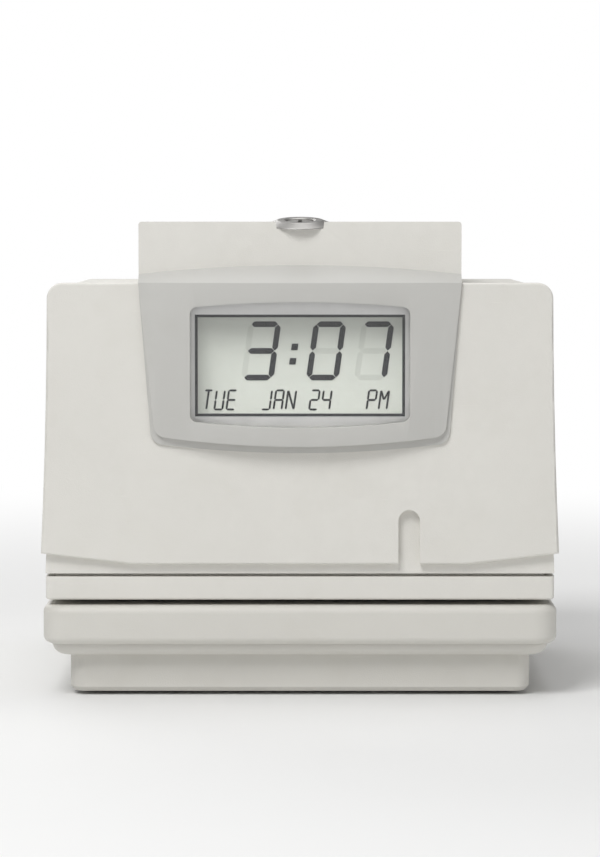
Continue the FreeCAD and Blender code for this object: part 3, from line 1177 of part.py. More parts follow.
def make_display_bracket():
    """A T-shaped steel sheet between the side plates, with bent ends."""
    y1 = Y_BRACKET + BRACKET_THICK
    low = Z_PLATE_TOP - BRACKET_HEIGHT
    half = DISPLAY_BOARD_HALF - 1.0
    bar = block(LEFT_PLATE_X, RIGHT_PLATE_X, Y_BRACKET, y1, low, Z_PLATE_TOP)
    tall = block(-half, half, Y_BRACKET, y1, low, Z_LCD_TOP + LCD_RIM - 1.0)
    ends = [block(x, x + BRACKET_THICK, Y_BRACKET, y1 + 10.0, low, Z_PLATE_TOP - 4.0)
            for x in (LEFT_PLATE_X, RIGHT_PLATE_X - BRACKET_THICK)]
    windows = [block(step * BRACKET_WINDOW_PITCH - BRACKET_WINDOW_HALF,
                     step * BRACKET_WINDOW_PITCH + BRACKET_WINDOW_HALF,
                     Y_BRACKET - 1, y1 + 1, Z_LCD_LOW + 2.0, Z_LCD_TOP - 4.0)
               for step in (-1, 0, 1)]
    return fuse_all([bar, tall] + ends).cut(windows)


def make_latch_striker():
    """A bent steel strap on top of the display bracket. The lock's cam turns in under its hook."""
    thick = BRACKET_THICK
    lock_low = cam_centre()
    y0 = Y_BRACKET + thick
    strap_top = Z_LCD_TOP + LCD_RIM - 1.0
    leg_y = lock_low.y + CAM_REACH + 1.6
    hook = lock_low.z + CAM_REACH * math.sin(math.radians(LOCK_TILT)) + CAM_THICK + 0.4
    front = leg_y - 7.0
    x = -STRAP_HALF
    strap = closed_face(V(x, y0, strap_top - 6.0), [
        V(x, y0 + thick, strap_top - 6.0),
        V(x, y0 + thick, strap_top - thick),
        V(x, leg_y + thick, strap_top - thick),
        V(x, leg_y + thick, hook + thick),
        V(x, front, hook + thick),
        V(x, front, hook),
        V(x, leg_y, hook),
        V(x, leg_y, strap_top),
        V(x, y0, strap_top),
        V(x, y0, strap_top - 6.0),
    ])
    return strap.extrude(V(2 * STRAP_HALF, 0, 0))


def button_places():
    return {"set_button": -BUTTON_X, "change_button": 0.0, "enter_button": BUTTON_X}


def make_button_switches():
    """Tactile switch housings on the display board, one under each button."""
    switches = []
    for x in button_places().values():
        body = block(x - SWITCH_HALF, x + SWITCH_HALF, Y_DISPLAY_BOARD - SWITCH_DEPTH,
                     Y_DISPLAY_BOARD, BUTTON_Z - SWITCH_HALF, BUTTON_Z + SWITCH_HALF)
        bore = Part.makeCylinder(BUTTON_R + RUN_GAP, SWITCH_DEPTH - 0.8,
                                 V(x, Y_DISPLAY_BOARD - SWITCH_DEPTH, BUTTON_Z), V(0, 1, 0))
        switches.append(body.cut(bore))
    return Part.makeCompound(switches)


def make_button(x):
    front = Y_DISPLAY_BOARD - SWITCH_DEPTH - BUTTON_PROUD
    stem = Part.makeCylinder(BUTTON_R, BUTTON_PROUD + 1.6, V(x, front, BUTTON_Z), V(0, 1, 0))
    return stem.makeChamfer(0.3, [e for e in stem.Edges if e.BoundBox.YMax < front + 1e-4])


def make_main_board():
    return block(-BOARD_HALF, BOARD_HALF, BOARD_Y, BOARD_Y + PCB, Z_DECK_FLOOR, Z_BOARD_TOP)


def on_board(across, up):
    """A place on the main board, as shares of its half width and of its height."""
    return across * BOARD_HALF, Z_DECK_FLOOR + up * (Z_BOARD_TOP - Z_DECK_FLOOR)


def flat_part(across, up, half_width, half_height, depth):
    """A chip or a plug header on the board's front."""
    x, z = on_board(across, up)
    return block(x - half_width, x + half_width, BOARD_Y - depth, BOARD_Y, z - half_height,
                 z + half_height)


def round_part(across, up, radius, depth):
    """A capacitor or sounder that stands on the board's front."""
    x, z = on_board(across, up)
    return Part.makeCylinder(radius, depth, V(x, BOARD_Y - depth, z), V(0, 1, 0))


def make_board_parts():
    """Parts soldered to the main board: chips, plug headers, capacitors and a sounder."""
    processor = flat_part(-0.69, 0.46, 14.0, 8.0, CHIP_THICK)
    memory = flat_part(-0.14, 0.64, 9.0, 9.0, CHIP_THICK)
    driver = flat_part(0.38, 0.31, 6.0, 5.0, CHIP_THICK)
    headers = [flat_part(-0.79, 0.82, 5.0, HEADER_HALF_HEIGHT, HEADER_DEPTH),
               flat_part(-0.31, 0.90, 8.0, HEADER_HALF_HEIGHT, HEADER_DEPTH),
               flat_part(0.24, 0.90, 10.0, HEADER_HALF_HEIGHT, HEADER_DEPTH)]
    capacitors = [round_part(0.72, 0.36, 5.0, 12.0), round_part(0.72, 0.56, 5.0, 12.0),
                  round_part(0.48, 0.54, 3.2, 8.0)]
    sounder = round_part(0.76, 0.82, 7.0, 6.0)
    return Part.makeCompound([processor, memory, driver] + headers + capacitors + [sounder])


def make_battery_pack():
    """Cells in a shrink sleeve, lying behind the main board."""
    left = CELL_GAP * 4.0 - BOARD_HALF
    y = BOARD_Y + PCB + CELL_GAP + CELL_R
    cells = [cross_bar(CELL_R, left, left + CELL_LENGTH, y, Z_DECK_FLOOR + (2 * index + 1) * CELL_R)
             for index in range(CELLS)]
    flat = CELL_R - 2.0
    sleeve = block(left, left + CELL_LENGTH, y - flat, y + flat, Z_DECK_FLOOR,
                   Z_DECK_FLOOR + 2 * CELLS * CELL_R)
    return fuse_all(cells + [sleeve])


# ---------------------------------------------------------------- lock

def cam_centre():
    """Middle of the cam's upper face, on the lock's axis."""
    drop = BARREL_LENGTH + 0.2
    tilt = math.radians(LOCK_TILT)
    return LOCK_POINT + V(0, drop * math.sin(tilt), -drop * math.cos(tilt))


def make_lock_housing():
    collar = Part.makeCone(COLLAR_R, COLLAR_TOP_R, COLLAR_HEIGHT)
    barrel = Part.makeCylinder(BARREL_R, BARREL_LENGTH, V(0, 0, -BARREL_LENGTH))
    bore = Part.makeCylinder(PLUG_R + RUN_GAP, BARREL_LENGTH + 4, V(0, 0, -BARREL_LENGTH - 1))
    low = V(0, 0, -LOCK_SEAT - CLIP_THICK - RUN_GAP)
    groove = Part.makeCylinder(BARREL_R + 1, CLIP_THICK + 2 * RUN_GAP, low)
    groove = groove.cut(Part.makeCylinder(BARREL_R - CLIP_GROOVE, CLIP_THICK + 2 * RUN_GAP, low))
    return tilt_to_lock(fuse_all([collar, barrel]).cut([bore, groove]))


def make_lock_clip():
    """A horseshoe clip that slides into the barrel's groove from behind, under the hood's boss."""
    inner = BARREL_R - CLIP_GROOVE + RUN_GAP
    low = -LOCK_SEAT - CLIP_THICK
    plate = block(-CLIP_HALF, CLIP_HALF, -inner * 0.6, CLIP_HALF, low, -LOCK_SEAT)
    mouth = block(-inner, inner, -CLIP_HALF, 0, low, -LOCK_SEAT)
    return tilt_to_lock(plate.cut([mouth, Part.makeCylinder(inner, CLIP_THICK, V(0, 0, low))]))


def make_lock_plug():
    top = COLLAR_HEIGHT - 0.5
    plug = Part.makeCylinder(PLUG_R, BARREL_LENGTH + top, V(0, 0, -BARREL_LENGTH))
    stud = Part.makeCylinder(STUD_R, 3.2, V(0, 0, -BARREL_LENGTH - 3.0))
    keyway = block(-0.6, 0.6, -3.0, 3.0, top - 8.0, top + 1)
    return tilt_to_lock(fuse_all([plug, stud]).cut(keyway))


def make_lock_cam():
    top = -BARREL_LENGTH - 0.2
    hub = Part.makeCylinder(STUD_R + 2.2, CAM_THICK, V(0, 0, top - CAM_THICK))
    arm = block(0, CAM_REACH - CAM_HALF, -CAM_HALF, CAM_HALF, top - CAM_THICK, top)
    nose = Part.makeCylinder(CAM_HALF, CAM_THICK, V(CAM_REACH - CAM_HALF, 0, top - CAM_THICK))
    hole = Part.makeCylinder(STUD_R, 10, V(0, 0, top - 6))
    return tilt_to_lock(fuse_all([hub, arm, nose]).cut(hole))


# ---------------------------------------------------------------- everything

def build():
    parts = {
        "base_tray": make_base_tray(),
        "rubber_feet": make_rubber_feet(),
        "case_screws": make_case_screws(),
        "lower_case": make_lower_case(),
        "power_jack": make_power_jack(),
        "platen_pad": make_platen_pad(),
        "platen_holder": make_platen_holder(),
        "depth_stop": make_depth_stop(),
        "throat_deck": make_throat_deck(),
        "ribbon_mask": make_ribbon_mask(),
        "side_plate_left": make_side_plate(True),
        "side_plate_right": make_side_plate(False),
        "tie_bar": make_tie_bar(),
        "front_guide_rod": make_guide_rod(FRONT_ROD_Y),
        "rear_guide_rod": make_guide_rod(REAR_ROD_Y),
        "rod_clips": make_rod_clips(),
        "screw_bushings": make_screw_bushings(),
        "feed_motor": make_feed_motor(),
        "small_screws": make_small_screws(),
        "motor_shaft": make_motor_shaft(),
        "motor_pinion": gear_at_motor(),
        "lead_screw": make_lead_screw(),
        "screw_gear": make_screw_gear(),
        "carriage": make_carriage(),
        "carriage_bushings": make_carriage_bushings(),
        "screw_follower": make_screw_follower(),
        "print_head": make_print_head(),
        "ribbon_cartridge": make_ribbon_cartridge(),
        "ink_ribbon": make_ink_ribbon(),
        "ribbon_spindle": make_ribbon_spindle(),
        "ribbon_gear": make_ribbon_gear(),
        "ribbon_motor": make_ribbon_motor(),
        "ribbon_pinion": make_ribbon_pinion(),
        "trigger_lever": make_trigger_lever(),
        "trigger_bracket": make_trigger_bracket(),
        "trigger_pin": make_trigger_pin(),
        "trigger_switch": make_trigger_switch(),
        "home_sensor": make_home_sensor(),
        "lcd_frame": make_lcd_frame(),
        "lcd_module": make_lcd_module(),
        "display_board": make_display_board(),
        "display_bracket": make_display_bracket(),
        "latch_striker": make_latch_striker(),
        "button_switches": make_button_switches(),
        "main_board": make_main_board(),
        "board_parts": make_board_parts(),
        "battery_pack": make_battery_pack(),
        "cover_shell": make_cover_shell(),
        "front_fascia": make_front_fascia(),
        "display_bezel": make_display_bezel(),
        "window_lens": make_window_lens(),
        "lock_housing": make_lock_housing(),
        "lock_clip": make_lock_clip(),
        "lock_plug": make_lock_plug(),
        "lock_cam": make_lock_cam(),
    }
    for name, x in button_places().items():
        parts[name] = make_button(x)
    return parts


os.makedirs("parts", exist_ok=True)
for node, shape in build().items():
    shape.exportStep("parts/" + node + ".step")
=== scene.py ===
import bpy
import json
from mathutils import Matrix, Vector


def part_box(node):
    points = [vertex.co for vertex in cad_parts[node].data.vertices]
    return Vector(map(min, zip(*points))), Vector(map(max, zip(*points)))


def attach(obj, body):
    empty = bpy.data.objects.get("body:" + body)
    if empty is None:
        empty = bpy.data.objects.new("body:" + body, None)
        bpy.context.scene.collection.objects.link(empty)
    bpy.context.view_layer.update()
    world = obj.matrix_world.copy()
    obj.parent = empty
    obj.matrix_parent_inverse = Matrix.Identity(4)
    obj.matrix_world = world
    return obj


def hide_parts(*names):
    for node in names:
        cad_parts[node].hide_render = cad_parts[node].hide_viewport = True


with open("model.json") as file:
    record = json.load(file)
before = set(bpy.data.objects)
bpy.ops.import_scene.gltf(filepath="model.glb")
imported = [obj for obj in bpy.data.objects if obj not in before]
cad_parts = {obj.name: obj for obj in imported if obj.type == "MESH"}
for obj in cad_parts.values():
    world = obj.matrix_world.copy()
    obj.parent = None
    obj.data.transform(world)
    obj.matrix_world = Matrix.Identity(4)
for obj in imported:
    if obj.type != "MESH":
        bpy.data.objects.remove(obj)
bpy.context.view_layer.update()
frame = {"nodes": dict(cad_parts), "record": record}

import json
import math

import bmesh
import bpy
import numpy as np
from bpy.props import FloatProperty, FloatVectorProperty, IntProperty, PointerProperty
from mathutils import Vector

bl_info = {
    "name": "Date and time stamp machine",
    "version": (1, 0, 0),
    "blender": (4, 5, 0),
    "location": "3D View > Sidebar > Stamp",
    "description": "Finishes and fine pieces of a desktop date and time stamp",
    "category": "Add Mesh",
}

MM = 0.001
TURN = 2.0 * math.pi


# ---------------- sizes and colours

def colour(label, about, value):
    """A colour that a user may change."""
    return FloatVectorProperty(name=label, description=about, subtype="COLOR", size=3,
                               min=0.0, max=1.0, default=value)


def length(label, about, value):
    """A length in metres that a user may change."""
    return FloatProperty(name=label, description=about, unit="LENGTH", min=0.0,
                         precision=6, default=value)


class StampColours(bpy.types.PropertyGroup):
    """Colours of the machine's finishes."""
    case: colour("Case", "Cover, fascia and deck", (0.760, 0.745, 0.700))
    bezel: colour("Bezel", "Surround of the display", (0.560, 0.555, 0.530))
    base: colour("Base", "Lower case and tray", (0.690, 0.675, 0.630))
    black: colour("Black mouldings", "Cartridge, carriage and switches", (0.030, 0.030, 0.033))
    acetal: colour("Gear plastic", "Gears and knobs", (0.760, 0.740, 0.670))
    steel: colour("Sheet steel", "Plated plates, brackets and case screws", (0.570, 0.570, 0.560))
    rod: colour("Ground steel", "Rods, shafts and small screws", (0.640, 0.645, 0.655))
    bronze: colour("Bronze", "Bushings and pinions", (0.560, 0.360, 0.170))
    can: colour("Motor cans", "Drawn and plated cans", (0.430, 0.435, 0.445))
    lock: colour("Lock", "Satin nickel of the cam lock", (0.450, 0.440, 0.425))
    rubber: colour("Rubber", "Feet and platen", (0.045, 0.045, 0.045))
    board: colour("Circuit board", "Solder mask", (0.015, 0.110, 0.048))
    copper: colour("Traces", "Copper under the solder mask", (0.040, 0.210, 0.080))
    ribbon: colour("Ribbon", "Inked nylon band", (0.020, 0.014, 0.045))
    sleeve: colour("Battery sleeve", "Shrink film round the cells", (0.100, 0.320, 0.200))
    reflector: colour("Display ground", "Reflector behind the read-out", (0.560, 0.585, 0.530))
    # also the colour of the painted shadow along the inner edge of the display's frame
    segment: colour("Display segments", "Driven segments", (0.012, 0.013, 0.015))
    lens: colour("Lens", "Clear window", (0.985, 0.985, 0.985))
    floor: colour("Floor", "Plain studio floor", (0.860, 0.860, 0.855))


class StampSizes(bpy.types.PropertyGroup):
    """Sizes of the finishes and of the fine pieces."""
    grain: length("Case grain", "Cell size of the moulded texture", 0.00030)
    fine_grain: length("Fine grain", "Cell size of the satin mouldings", 0.00018)
    digit_height: length("Digit height", "Large digits, middle to middle of the strokes", 0.0170)
    digit_width: length("Digit width", "Large digits, middle to middle of the strokes", 0.0086)
    digit_stroke: length("Digit stroke", "Segment width of the large digits", 0.0018)
    row_height: length("Row height", "Letters of the date row", 0.0061)
    row_stroke: length("Row stroke", "Segment width of the date row", 0.00062)
    slant: FloatProperty(name="Slant", description="Lean of the read-out", subtype="ANGLE",
                         default=math.radians(8.0))
    groove_lead: length("Groove lead", "Advance of the screw's groove per turn", 0.024)
    groove_starts: IntProperty(name="Groove starts", description="Grooves side by side",
                               min=1, default=4)
    groove_depth: length("Groove depth", "Depth of the screw's groove", 0.0009)
    wear: FloatProperty(name="Wear", description="How much handling shows", subtype="FACTOR",
                        min=0.0, max=1.0, default=0.5)


def colours():
    return bpy.context.scene.stamp_colours


def sizes():
    return bpy.context.scene.stamp_sizes


# ---------------- shader nodes

WHITE = (1.0, 1.0, 1.0, 1.0)


def rgba(tone, times=1.0, plus=0.0):
    """A colour for a socket: each part times one number plus another, 1 at most."""
    return tuple(min(1.0, plus + times * part) for part in tone) + (1.0,)


class Nodes:
    """A node tree and short ways to add to it. A material's tree also knows its material, its
    Principled shader and its coordinates."""

    def __init__(self, tree):
        self.tree = tree
        self.material = self.shader = self.at = None

    def feed(self, socket, value):
        """Links another node's output to a socket, or sets the socket's own value."""
        if isinstance(value, bpy.types.NodeSocket):
            self.tree.links.new(value, socket)
        else:
            socket.default_value = value

    def add(self, kind, inputs=None, **settings):
        """One node with its settings and inputs."""
        node = self.tree.nodes.new(kind)
        for name, value in settings.items():
            setattr(node, name, value)
        for socket, value in (inputs or {}).items():
            self.feed(node.inputs[socket], value)
        return node

    def maths(self, operation, *values):
        """A Math node's result."""
        values = dict(enumerate(values))
        return self.add("ShaderNodeMath", values, operation=operation).outputs[0]

    def times(self, one, two):
        return self.maths("MULTIPLY", one, two)

    def plus(self, one, two):
        return self.maths("ADD", one, two)

    def ramp(self, value, low, high):
        """0 at low, 1 at high and a smooth step between."""
        inputs = {"Value": value, "From Min": low, "From Max": high}
        return self.add("ShaderNodeMapRange", inputs,
                        interpolation_type="SMOOTHSTEP").outputs["Result"]

    def noise(self, position, scale, detail=2.0, **more):
        """Fractal noise."""
        inputs = {"Vector": position, "Scale": scale, "Detail": detail, **more}
        return self.add("ShaderNodeTexNoise", inputs).outputs["Fac"]

    def blend(self, mask, one, two):
        """Two colours mixed by a mask."""
        return self.add("ShaderNodeMix", {0: mask, 6: one, 7: two}, data_type="RGBA").outputs[2]

    def over(self, shade, mask, amount, tone):
        """A colour laid over another where a mask is, as strongly as the amount says."""
        return self.blend(self.times(mask, amount), shade, tone)

    def effect(self, name, **inputs):
        """One of the shared effects, with its own values and in the piece's own coordinates."""
        node = self.add("ShaderNodeGroup", inputs, node_tree=EFFECTS[name])
        self.feed(node.inputs["Position"], self.at["Object"])
        if "Normal" in node.inputs:
            self.feed(node.inputs["Normal"], self.at["Normal"])
        return node.outputs

    def finish(self, shade, rough=None, height=None, depth=0.0):
        """Gives the shader its colour, its roughness and a relief of a real depth in metres."""
        self.feed(self.shader.inputs["Base Color"], shade)
        if rough is not None:
            self.feed(self.shader.inputs["Roughness"], rough)
        if height is not None:
            bump = self.add("ShaderNodeBump", {"Height": height, "Distance": depth,
                                               "Strength": 1.0})
            self.feed(self.shader.inputs["Normal"], bump.outputs["Normal"])
        return self.material

    def mix_in(self, mask, other):
        """Mixes another shader into the material's own one, by a mask."""
        shaders = {0: mask, 1: self.shader.outputs[0], 2: other.outputs[0]}
        mixed = self.add("ShaderNodeMixShader", shaders)
        output = next(node for node in self.tree.nodes if node.type == "OUTPUT_MATERIAL")
        self.feed(output.inputs["Surface"], mixed.outputs[0])


# ---------------- effects

def effect_group(name, inputs, outputs):
    """An empty node group with named sockets: its nodes, its inputs and its outputs. An input
    given as a number is a number's socket, and the others are vectors."""
    tree = bpy.data.node_groups.new(name, "ShaderNodeTree")
    for label, value in inputs.items():
        kind = "NodeSocketFloat" if isinstance(value, float) else "NodeSocketVector"
        socket = tree.interface.new_socket(label, in_out="INPUT", socket_type=kind)
        if value is not None:
            socket.default_value = value
    for label in outputs:
        tree.interface.new_socket(label, in_out="OUTPUT", socket_type="NodeSocketFloat")
    given = tree.nodes.new("NodeGroupInput").outputs
    return Nodes(tree), given, tree.nodes.new("NodeGroupOutput").inputs


def make_grain_group():
    """Spark-eroded mould texture: soft round cells with a finer noise on top, and clouding."""
    nodes, given, out = effect_group("moulded grain", {"Position": None, "Cell": 0.0003},
                                     ("Height", "Tone"))
    at = given["Position"]
    scale = nodes.maths("DIVIDE", 1.0, given["Cell"])
    cells = nodes.add("ShaderNodeTexVoronoi", {"Vector": at, "Scale": scale}, feature="SMOOTH_F1")
    fine = nodes.noise(at, nodes.times(scale, 0.8), 3.0)
    nodes.feed(out["Height"], nodes.plus(nodes.times(cells.outputs["Distance"], 0.7),
                                         nodes.times(fine, 0.5)))
    nodes.feed(out["Tone"], nodes.noise(at, 28.0, 4.0, Roughness=0.6))
    return nodes.tree


def make_handling_group():
    """Marks of use: finger smudges, hairline scratches and dust that lies on level surfaces."""
    nodes, given, out = effect_group(
        "handling marks", {"Position": None, "Normal": None, "Amount": 0.5},
        ("Smudge", "Hairline", "Dust"))
    at, amount = given["Position"], given["Amount"]
    patches = nodes.noise(at, 45.0, 5.0, Roughness=0.55, Distortion=0.6)
    nodes.feed(out["Smudge"], nodes.times(nodes.ramp(patches, 0.50, 0.68), amount))
    stretched = nodes.add("ShaderNodeMapping", {"Vector": at, "Rotation": (0.3, 0.5, 0.2),
                                                "Scale": (1.0, 14.0, 30.0)}).outputs["Vector"]
    lines = nodes.ramp(nodes.noise(stretched, 60.0), 0.67, 0.71)
    hairline = nodes.times(lines, nodes.ramp(patches, 0.56, 0.66))
    nodes.feed(out["Hairline"], nodes.times(hairline, amount))
    facing = nodes.add("ShaderNodeSeparateXYZ", {"Vector": given["Normal"]}).outputs["Z"]
    specks = nodes.ramp(nodes.noise(at, 900.0, 3.0), 0.50, 0.75)
    dust = nodes.times(nodes.ramp(facing, 0.6, 1.0), specks)
    nodes.feed(out["Dust"], nodes.times(dust, amount))
    return nodes.tree


def make_edge_group():
    """Polish along convex edges, where hands and paper rub."""
    nodes, given, out = effect_group("edge polish", {"Position": None, "Amount": 0.5}, ("Edge",))
    curve = nodes.add("ShaderNodeNewGeometry").outputs["Pointiness"]
    broken = nodes.ramp(nodes.noise(given["Position"], 180.0, 4.0), 0.35, 0.65)
    edge = nodes.times(nodes.ramp(curve, 0.53, 0.62), broken)
    nodes.feed(out["Edge"], nodes.times(edge, given["Amount"]))
    return nodes.tree


def make_streaks_group():
    """Fine parallel streaks of rolled, drawn or turned metal, and slight spotting."""
    nodes, given, out = effect_group(
        "metal streaks", {"Position": None, "Stretch": (1.0, 1.0, 40.0), "Scale": 90.0},
        ("Height", "Shade"))
    at = given["Position"]
    along = nodes.add("ShaderNodeVectorMath", {0: at, 1: given["Stretch"]},
                      operation="MULTIPLY").outputs["Vector"]
    nodes.feed(out["Height"], nodes.noise(along, given["Scale"], 4.0))
    nodes.feed(out["Shade"], nodes.noise(at, 120.0, 5.0, Roughness=0.65))
    return nodes.tree


def make_weave_group():
    """Plain weave: warp and weft threads that pass over and under each other."""
    nodes, given, out = effect_group("plain weave", {"Position": None, "Pitch": 0.0003},
                                     ("Height", "Warp"))
    parts = nodes.add("ShaderNodeSeparateXYZ", {"Vector": given["Position"]}).outputs
    turns = nodes.maths("DIVIDE", math.pi, given["Pitch"])
    over = nodes.times(*(nodes.maths("SINE", nodes.times(parts[axis], turns)) for axis in "XY"))
    nodes.feed(out["Height"], nodes.plus(nodes.maths("ABSOLUTE", over), nodes.times(over, 0.5)))
    nodes.feed(out["Warp"], nodes.ramp(over, -0.2, 0.2))
    return nodes.tree


def make_traces_group():
    """Rows of copper traces with cross links, under the solder mask of a circuit board."""
    nodes, given, out = effect_group("circuit traces", {"Position": None}, ("Copper", "Pad"))
    at = given["Position"]
    turn_up = {"Vector": at, "Rotation": (TURN / 4.0, 0.0, 0.0)}
    upright = nodes.add("ShaderNodeMapping", turn_up).outputs["Vector"]
    rows = nodes.add("ShaderNodeTexBrick", {"Vector": upright, "Scale": 1.0,
                                            "Mortar Size": 0.00022, "Mortar Smooth": 0.2,
                                            "Brick Width": 0.0135, "Row Height": 0.0016})
    dots = nodes.add("ShaderNodeTexVoronoi", {"Vector": upright, "Scale": 330.0,
                                              "Randomness": 0.35})
    regions = nodes.noise(at, 60.0)
    nodes.feed(out["Copper"], nodes.times(rows.outputs["Fac"], nodes.ramp(regions, 0.42, 0.5)))
    nodes.feed(out["Pad"], nodes.times(nodes.ramp(dots.outputs["Distance"], 0.22, 0.16),
                                       nodes.ramp(regions, 0.54, 0.56)))
    return nodes.tree


EFFECTS = {}


def make_effects():
    EFFECTS.update(grain=make_grain_group(), handling=make_handling_group(),
                   edge=make_edge_group(), streaks=make_streaks_group(),
                   weave=make_weave_group(), traces=make_traces_group())


# ---------------- materials

DUST = (0.52, 0.50, 0.46, 1.0)
GREASE = (0.80, 0.78, 0.72)      # what a smudge leaves of each part of the colour
TIN = (0.62, 0.60, 0.56, 1.0)
WORN_RIBBON = (0.07, 0.06, 0.10, 1.0)
SCRATCHED_LENS = (0.80, 0.80, 0.80, 1.0)
DISPLAY_SPECKLE = 0.00012
IDLE = 0.075                     # darkness of an idle segment as a share of a driven one's


def blank_material(name, roughness, **constants):
    """The nodes of a new material with one Principled shader. Constants are the shader's
    sockets, with _ for a blank."""
    material = bpy.data.materials.new(name)
    material.use_nodes = True
    nodes = Nodes(material.node_tree)
    nodes.tree.nodes.clear()
    inputs = {socket.replace("_", " "): value for socket, value in constants.items()}
    nodes.material = material
    nodes.shader = nodes.add("ShaderNodeBsdfPrincipled", {"Roughness": roughness, **inputs})
    nodes.add("ShaderNodeOutputMaterial", {"Surface": nodes.shader.outputs["BSDF"]})
    nodes.at = nodes.add("ShaderNodeTexCoord").outputs
    return nodes


def moulded_plastic(name, tone, cell, depth, roughness, wear):
    """Moulded plastic: grain, slight clouding, smudges, hairlines, dust and polished edges."""
    nodes = blank_material(name, roughness, Specular_IOR_Level=0.45)
    grain = nodes.effect("grain", Cell=cell)
    marks = nodes.effect("handling", Amount=wear)
    edge = nodes.effect("edge", Amount=0.8 * wear)["Edge"]
    shade = nodes.blend(grain["Tone"], rgba(tone, 0.955), rgba(tone, 1.02))
    greasy = rgba([part * kept for part, kept in zip(tone, GREASE)])
    shade = nodes.over(shade, marks["Smudge"], 0.14, greasy)
    shade = nodes.over(shade, marks["Hairline"], 0.5, rgba(tone, 0.95, 0.12))
    shade = nodes.over(shade, marks["Dust"], 0.35, DUST)
    shade = nodes.over(shade, edge, 0.5, rgba(tone, 1.05, 0.05))
    duller = nodes.plus(roughness, nodes.times(marks["Dust"], 0.2))
    glossier = nodes.plus(nodes.times(marks["Smudge"], 0.16), nodes.times(edge, 0.15))
    rough = nodes.maths("SUBTRACT", duller, glossier)
    return nodes.finish(shade, rough, grain["Height"], depth)


def metal(name, tone, stretch, scale, roughness, depth, spotted):
    """Bare or plated metal with streaks along one direction and slight spotting."""
    nodes = blank_material(name, roughness, Metallic=1.0)
    streaks = nodes.effect("streaks", Stretch=stretch, Scale=scale)
    edge = nodes.effect("edge", Amount=0.6)["Edge"]
    shade = nodes.blend(streaks["Shade"], rgba(tone, 1.0 - spotted), rgba(tone, 1.0 + spotted))
    shade = nodes.over(shade, edge, 0.4, rgba(tone, 1.25))
    rough = nodes.plus(nodes.times(streaks["Height"], 0.16),
                       nodes.plus(roughness - 0.12, nodes.times(streaks["Shade"], 0.08)))
    return nodes.finish(shade, rough, streaks["Height"], depth)


def rubber(name, tone):
    """Dense rubber: matt, finely pitted, with pale bloom in patches."""
    nodes = blank_material(name, 0.78, Specular_IOR_Level=0.3)
    grain = nodes.effect("grain", Cell=0.00035)
    marks = nodes.effect("handling", Amount=0.8)
    shade = nodes.over(rgba(tone), marks["Smudge"], 0.25, rgba(tone, plus=0.06))
    return nodes.finish(shade, height=grain["Height"], depth=0.00003)


def circuit_board(name, mask, copper):
    """Glass-fibre board: green solder mask over traces, tinned pads."""
    nodes = blank_material(name, 0.32)
    traces = nodes.effect("traces")
    shade = nodes.blend(traces["Copper"], rgba(mask), rgba(copper))
    shade = nodes.blend(traces["Pad"], shade, TIN)
    nodes.feed(nodes.shader.inputs["Metallic"], nodes.times(traces["Pad"], 0.9))
    relief = nodes.plus(traces["Copper"], traces["Pad"])
    return nodes.finish(shade, height=relief, depth=0.00004)


def inked_fabric(name, tone):
    """Woven nylon soaked with ink, paler in worn patches."""
    nodes = blank_material(name, 0.62, Sheen_Weight=0.3, Sheen_Roughness=0.5)
    weave = nodes.effect("weave", Pitch=0.00030)
    marks = nodes.effect("handling", Amount=1.0)
    shade = nodes.blend(weave["Warp"], rgba(tone, 0.7), rgba(tone, 1.5))
    shade = nodes.over(shade, marks["Smudge"], 0.3, WORN_RIBBON)
    return nodes.finish(shade, height=weave["Height"], depth=0.00006)


def clear_lens(name, tone):
    """Clear acrylic. It lets lamp light through, so the read-out behind it is lit."""
    nodes = blank_material(name, 0.03, IOR=1.49, Transmission_Weight=1.0)
    marks = nodes.effect("handling", Amount=0.7)
    shade = nodes.over(rgba(tone), marks["Hairline"], 0.2, SCRATCHED_LENS)
    nodes.finish(shade, nodes.plus(0.025, nodes.times(marks["Smudge"], 0.05)))
    through = nodes.add("ShaderNodeBsdfTransparent", {"Color": rgba(tone, 0.97)})
    nodes.mix_in(nodes.add("ShaderNodeLightPath").outputs["Is Shadow Ray"], through)
    return nodes.material


def display_ground(name, tone):
    """Reflector of a grey display: fine speckle and slight clouding."""
    nodes = blank_material(name, 0.42)
    grain = nodes.effect("grain", Cell=DISPLAY_SPECKLE)
    shade = nodes.blend(grain["Height"], rgba(tone, 0.93), rgba(tone, 1.06))
    shade = nodes.blend(grain["Tone"], shade, rgba(tone, 0.97))
    return nodes.finish(shade, height=grain["Height"], depth=0.000006)


def liquid_crystal(name, tone, ground, strength):
    """Dye between two glasses, so with hardly any gloss of its own: the segments that are on, or
    the faint ones that are off. The material of those that are on also colours the painted
    shadow round the read-out."""
    nodes = blank_material(name, 0.5, Specular_IOR_Level=0.08)
    grain = nodes.effect("grain", Cell=DISPLAY_SPECKLE)
    full = [g + (t - g) * strength for t, g in zip(tone, ground)]
    return nodes.finish(nodes.blend(grain["Height"], rgba(full, 0.92), rgba(full)))


def shrink_film(name, tone):
    """Thin glossy shrink film with small wrinkles."""
    nodes = blank_material(name, 0.22)
    wrinkles = nodes.noise(nodes.at["Object"], 220.0, 3.0, Distortion=1.5)
    shade = nodes.blend(wrinkles, rgba(tone, 0.8), rgba(tone, 1.25))
    return nodes.finish(shade, height=wrinkles, depth=0.00035)


MATERIALS = {}
BUTTON_BLACK = (0.06, 0.06, 0.065)
ROLLED = (1.0, 1.0, 40.0)        # streaks that lie level
DRAWN = (40.0, 1.0, 1.0)         # streaks round an axis along X
EVEN = (1.0, 1.0, 1.0)
POROUS = (6.0, 6.0, 6.0)


